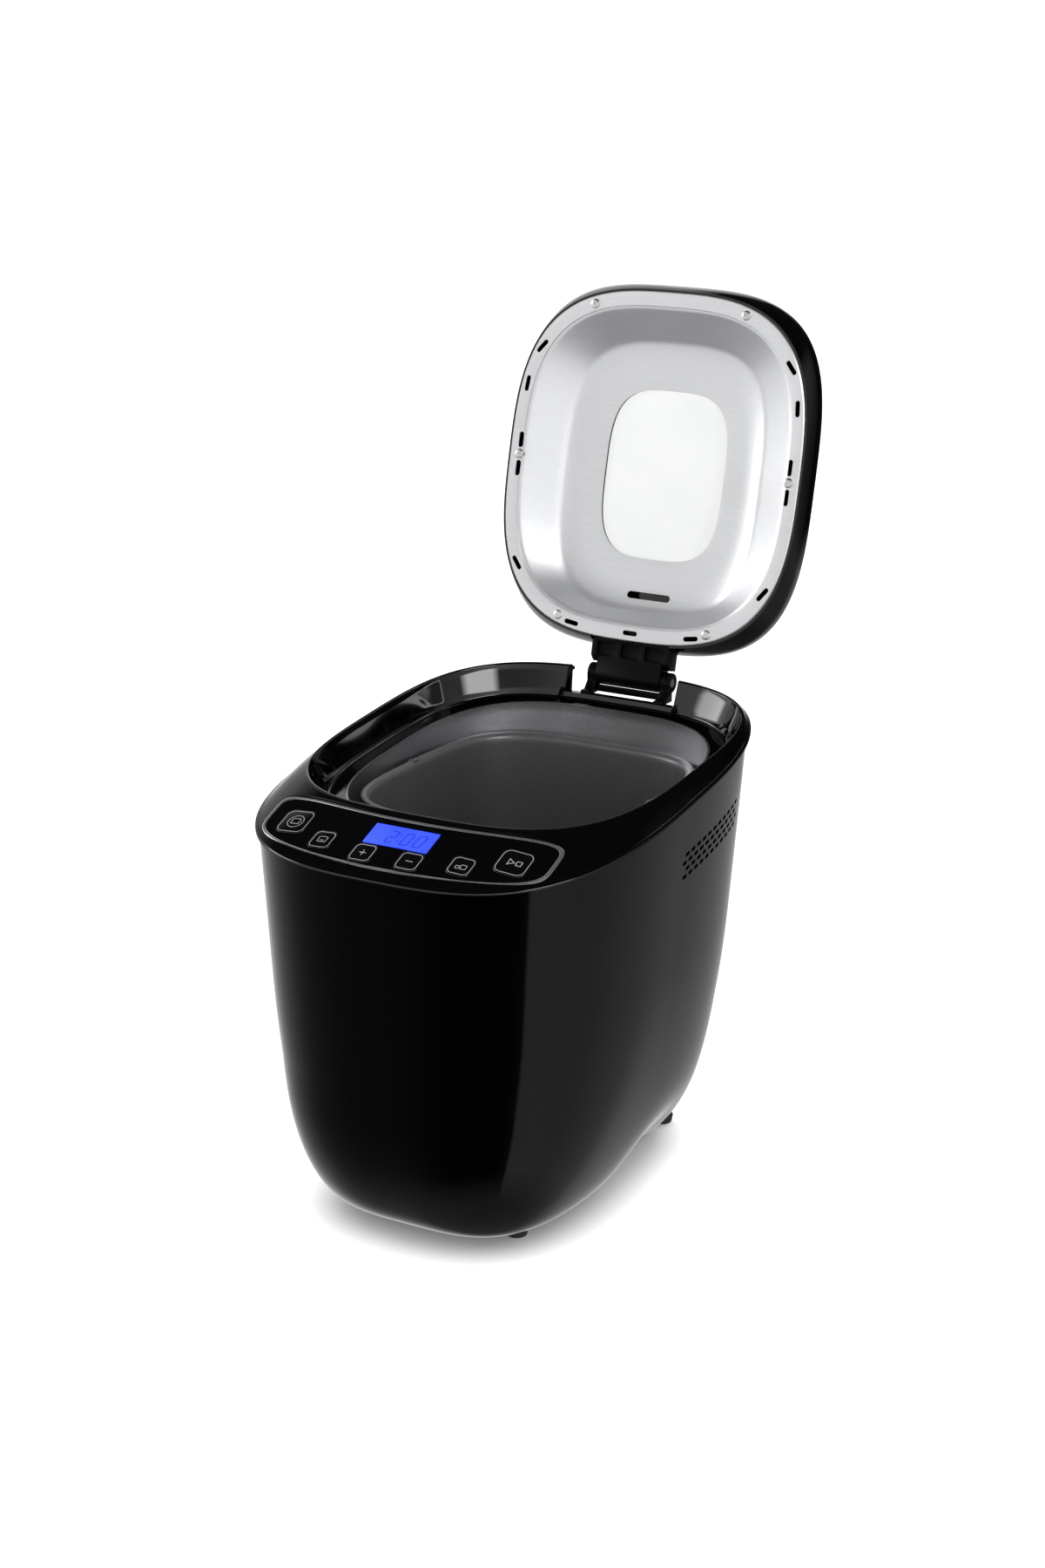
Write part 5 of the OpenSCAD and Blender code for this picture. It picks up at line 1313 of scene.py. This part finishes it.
# %% Heating element
ELEMENT_X, ELEMENT_Y = 76.0, 82.0


def element_turn(x):
    """Angle at which the element's loop crosses this x."""
    return math.acos((x / ELEMENT_X) ** 2)


start, end = -element_turn(LEGS[1] + 4), 2 * math.pi - element_turn(LEGS[0] - 4)
loop = [(ELEMENT_X * power(math.cos(t), 0.5), BAY_Y + ELEMENT_Y * power(math.sin(t), 0.5),
         ELEMENT_H) for t in np.linspace(start, end, 241)]


def rounded_bend(a, corner, b, count=6):
    """Points of a bend from a to b that leans into the corner."""
    a, corner, b = map(np.array, (a, corner, b))
    return [tuple((1 - t) ** 2 * a + 2 * t * (1 - t) * corner + t * t * b)
            for t in np.linspace(0, 1, count + 2)]


def on_leg(k, y):
    """A point on one of the two straight legs."""
    return (LEGS[k], y, ELEMENT_H)


leg_y = BAY_Y - 100
first = rounded_bend(on_leg(1, loop[0][1] - 5), on_leg(1, loop[0][1]), loop[3])
last = rounded_bend(loop[-4], on_leg(0, loop[-1][1]), on_leg(0, loop[-1][1] - 5))
element = tube_along("element_tube", [on_leg(1, leg_y)] + first + loop[4:-4] + last
                     + [on_leg(0, leg_y)], ELEMENT_R, "element_metal")
wear(element, "housing", "element_metal", "heating_element")

# %% [markdown]
# ## Screws
# All the visible screws are one design at different places: a low domed head with a cross recess,
# and a shank. The screw is lofted and cut once, and Geometry Nodes sets it on points that carry
# their own direction and turn.

# %% One screw mesh, cut once
def screw_pattern(head, shank):
    """A pan head from z 0 down to -head height, with its shank below."""
    rows = [(0.02, 0.0), (1.4, -0.02), (2.3, -0.14), (2.8, -0.36), (3.0, -0.7), (3.0, -head + 0.12),
            (2.9, -head), (1.5, -head), (1.5, -head - shank + 0.4), (1.1, -head - shank)]
    rings = [at_height(circle(radius, 28), z) for radius, z in rows]
    piece = loft("screw", rings, "screw_steel", joined=False, turned=in_metres)
    return cut(piece, [brick((-a, -b, -0.55), (a, b, 1), in_metres)
                       for a, b in ((1.5, 0.32), (0.32, 1.5))])


# %% Tree that sets screws on points
screws_tree, given, out = node_tree("screws at points", [
    ("Screw", "NodeSocketObject", None), ("Finish", FINISH, None)])
info = add(screws_tree, "GeometryNodeObjectInfo", {"Object": given["Screw"]})
axis = add(screws_tree, "GeometryNodeInputNamedAttribute", {"Name": "axis"},
           data_type="FLOAT_VECTOR")
facing = add(screws_tree, "FunctionNodeAlignRotationToVector", {
    "Vector": axis.outputs["Attribute"]}, axis="Z")
spin = add(screws_tree, "FunctionNodeRotateRotation", {"Rotation": facing.outputs["Rotation"]},
           rotation_space="LOCAL")
twist = add(screws_tree, "ShaderNodeCombineXYZ", {"Z": read(screws_tree, "turn")})
screws_tree.links.new(twist.outputs["Vector"], spin.inputs["Rotate By"])
copies = add(screws_tree, "GeometryNodeInstanceOnPoints", {
    "Points": given["Geometry"], "Instance": info.outputs["Geometry"],
    "Rotation": spin.outputs["Rotation"]})
dress(screws_tree, copies.outputs["Instances"], given, out)


# %% Screws in their places
def screws(name, places, height, turned, head, shank, body, node):
    """Screws whose heads face down in a local frame, each with its cross at another angle."""
    pattern = screw_pattern(head, shank)
    way = turned(np.array([[0.0, 0.0, -1.0]]))[0] - turned(np.zeros((1, 3)))[0]
    source = mesh_piece(name, turned(at_height(np.array(places, float), height)), [])
    note(source, "axis", np.tile(way / np.linalg.norm(way), len(places)), "FLOAT_VECTOR", "vector")
    note(source, "turn", [0.4 + 1.3 * i for i in range(len(places))])
    grow(name, screws_tree, source, {"Screw": pattern}, "screw_steel")
    bpy.data.objects.remove(pattern)
    return wear(finish_mesh(source), body, "screw_steel", node)


screws("tray_screws", LID_SCREWS, -0.9, on_lid, 0.9, 12, "lid", "lid_screws")
screws("hinge_screws", ARM_SCREWS, 4.6, on_lid, 2, 13.4, "lid", "arm_screws")
screws("underside_screws", POSTS, FOOT_H, to_frame, 1.5, 15.5, "housing", "base_screws")

# %% [markdown]
# ## Smaller mouldings
# The hinge arm, its bracket, the feet, the rests, the mains bush, the hub, the paddle and the
# keys keep the shapes of the solid model. A moulding has no knife edge, so each copy is cleaned
# of the flat triangles' extra edges and gets a small rounded bevel.

# %% Softened copies
def soften(name, node, radius, body, slot, steps=2, finish=None):
    """A copy of a node with its edges rounded, in its slot's finish or in another."""
    mesh = nodes[node].data.copy()
    piece = set_out(name, mesh)
    work = bmesh.new()
    work.from_mesh(mesh)
    bmesh.ops.remove_doubles(work, verts=work.verts, dist=1e-6)
    bmesh.ops.recalc_face_normals(work, faces=work.faces)
    bmesh.ops.dissolve_limit(work, angle_limit=math.radians(1.0), verts=work.verts,
                             edges=work.edges)
    work.to_mesh(mesh)
    work.free()
    modify(piece, "BEVEL", width=radius * MM, segments=steps, limit_method="ANGLE",
           angle_limit=math.radians(40), use_clamp_overlap=True)
    paint(bake(piece), finish or slot)
    return wear(finish_mesh(piece), body, slot, node)


# The hinge pieces take the darker copy of the satin black, which is painted shade.
soften("hinge_link", "hinge_arm", 0.5, "lid", "black_satin", finish="hinge_black_painted_shade")
soften("hinge_yoke", "hinge_bracket", 0.4, "housing", "black_satin", finish="hinge_black_painted_shade")
for name, node, radius in (("rubber_feet", "feet", 0.6), ("lid_rests", "lid_bumpers", 0.3),
                           ("mains_bush", "cord_gland", 0.5)):
    soften(name, node, radius, "housing", "rubber_black")
soften("pan_boss", "pan_hub", 0.4, "pan", "cast_metal")
soften("paddle_blade", "kneading_paddle", 0.7, "paddle", "pan_coat")
for key in KEYS:
    soften(f"{key}_cap", f"{key}_button", 0.55, f"{key}_key", "key_black", steps=3)

# %% [markdown]
# ## Marks on the keys
# The keys carry printed signs: a thin frame and a simple picture each. A print is a film of ink,
# so each stroke is a ribbon a few hundredths of a millimetre thick that moves with its key.

# %% Strokes
def unit(rows):
    """Each row at a length of one."""
    return rows / np.maximum(np.linalg.norm(rows, axis=1)[:, None], 1e-9)


def ribbon(line, width, closed=False):
    """Left and right edges of a stroke along a line."""
    line = np.array(line, float)
    ahead = np.roll(line, -1, 0) - line
    behind = line - np.roll(line, 1, 0)
    if not closed:
        ahead[-1], behind[0] = behind[-1], ahead[0]
    ahead, behind = unit(ahead), unit(behind)
    way = unit(ahead + behind)
    side = np.column_stack([-way[:, 1], way[:, 0]])
    stretch = 1 / np.clip((side * np.column_stack([-ahead[:, 1], ahead[:, 0]])).sum(1), 0.5, 1)
    half = side * (stretch * width / 2)[:, None]
    return line + half, line - half


def prints(name, strokes, turned, low, high, body, finish="print_silver"):
    """Ribbons between two heights as one piece. A stroke is (line, width, closed)."""
    points, faces = [], []
    for line, width, closed in strokes:
        left, right = ribbon(line, width, closed)
        n, start = len(left), len(points)
        for edge, z in ((left, high), (right, high), (right, low), (left, low)):
            points += [(x, y, z) for x, y in edge]
        for i in range(n if closed else n - 1):
            j = (i + 1) % n
            for a, b in ((0, 1), (1, 2), (2, 3), (3, 0)):
                faces.append(tuple(start + k for k in (a * n + i, a * n + j, b * n + j, b * n + i)))
        if not closed:
            faces += [tuple(start + k * n for k in range(4)),
                      tuple(start + k * n + n - 1 for k in (3, 2, 1, 0))]
    piece = mesh_piece(name, turned(np.array(points, float)), faces, finish)
    return wear(finish_mesh(piece), body, None)


def arc(x, y, r, a, b, count=12):
    """Points of an arc between two angles in degrees."""
    return [(x + r * math.cos(math.radians(t)), y + r * math.sin(math.radians(t)))
            for t in np.linspace(a, b, count)]


# %% Signs of the keys
INK, FINE = 0.55, 0.45             # widths of the strokes
INK_LOW, INK_HIGH = 0.56, 0.63     # bottom and top of the film on a key
loaf = [(-2.6, -1.9), (2.6, -1.9), (2.6, 0.5)] + arc(1.7, 1.2, 1.2, -30, 100) \
    + arc(-1.7, 1.2, 1.2, 80, 210) + [(-2.6, 0.5)]
SIGNS = {
    "menu": [(loaf, FINE, True), (arc(0, 0, 5.0, 0, 345, 40), FINE, True)],
    "crust": [(loaf, FINE, True), ([(-1.2, -0.6), (1.2, -0.6)], FINE, False)],
    "time_up": [([(-2.2, 0), (2.2, 0)], INK, False), ([(0, -2.2), (0, 2.2)], INK, False)],
    "time_down": [([(-2.2, 0), (2.2, 0)], INK, False)],
    "loaf_size": [(round_rect(2.2, 2.2, 0.4, 3, -1.9, -1.2), FINE, True),
                  (round_rect(3.4, 3.4, 0.5, 3, 1.6, -0.6), FINE, True)],
    "start_stop": [([(-3.4, -2.2), (-3.4, 2.2), (0.2, 0)], INK, True),
                   (round_rect(3.2, 3.2, 0.3, 3, 3.0, 0), INK, True)],
}
for key, (x, y, size) in KEYS.items():
    frame_line = round_rect(size - 2.4, size - 2.4, size / 4 - 1.0, 8)
    prints(f"{key}_mark", [(frame_line, FINE, True)] + SIGNS[key], placed(key_matrix(x, y)),
           INK_LOW, INK_HIGH, f"{key}_key")

# %% Digits of the display
def digit(x, y, w, h, lit):
    """Strokes of a seven-segment digit: top, upper right, lower right, bottom, left two, middle."""
    gap, slant, thick = 0.35, 0.12, 0.85
    ends = [((0, 1), (1, 1)), ((1, 1), (1, 0.5)), ((1, 0.5), (1, 0)), ((0, 0), (1, 0)),
            ((0, 0.5), (0, 0)), ((0, 1), (0, 0.5)), ((0, 0.5), (1, 0.5))]
    out = []
    for k in lit:
        (a, b), (c, d) = ends[k]
        p, q = np.array([a * w, b * h]), np.array([c * w, d * h])
        way = (q - p) / np.linalg.norm(q - p)
        p, q = p + way * gap, q - way * gap
        out.append(([(x + p[0] + slant * p[1], y + p[1]), (x + q[0] + slant * q[1], y + q[1])],
                    thick, False))
    return out


DIGIT_X, DIGIT_STEP, COLON_GAP = -8.5, 8.2, 1.6
DIGIT_W, DIGIT_H, DIGIT_LOW, DOT = 4.6, 9.6, -5.4, 1.1
strokes = []
for i, lit in enumerate(((0, 1, 3, 4, 6), (0, 1, 2, 3, 4, 5), (0, 1, 2, 3, 4, 5))):
    strokes += digit(DIGIT_X + DIGIT_STEP * i + (COLON_GAP if i else 0), DISPLAY_Y + DIGIT_LOW,
                     DIGIT_W, DIGIT_H, lit)
strokes += [([(-0.9, DISPLAY_Y + h), (-0.75, DISPLAY_Y + h + DOT)], DOT, False)
            for h in (-3.4, 1.4)]
prints("display_digits", strokes, on_panel, 0.06, 0.14, "housing", "display_digit")

# %% [markdown]
# ## Pieces kept from the solid model
# The drive, the motor, the boards and the other inner pieces keep their CAD shapes and get their
# finishes.

# %% Finishes of the kept nodes
slot_of = {part["node"]: part["material_slot"] for part in record["subparts"]}
for name, piece in nodes.items():
    for place in piece.material_slots:
        place.link = "OBJECT"
        place.material = finishes[slot_of[name]]
print("nodes with finishes:", len(nodes))

# %% Size
size = {"cad": [list(cad_low), list(cad_high)], "shown": [list(end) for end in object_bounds()]}
print(size)
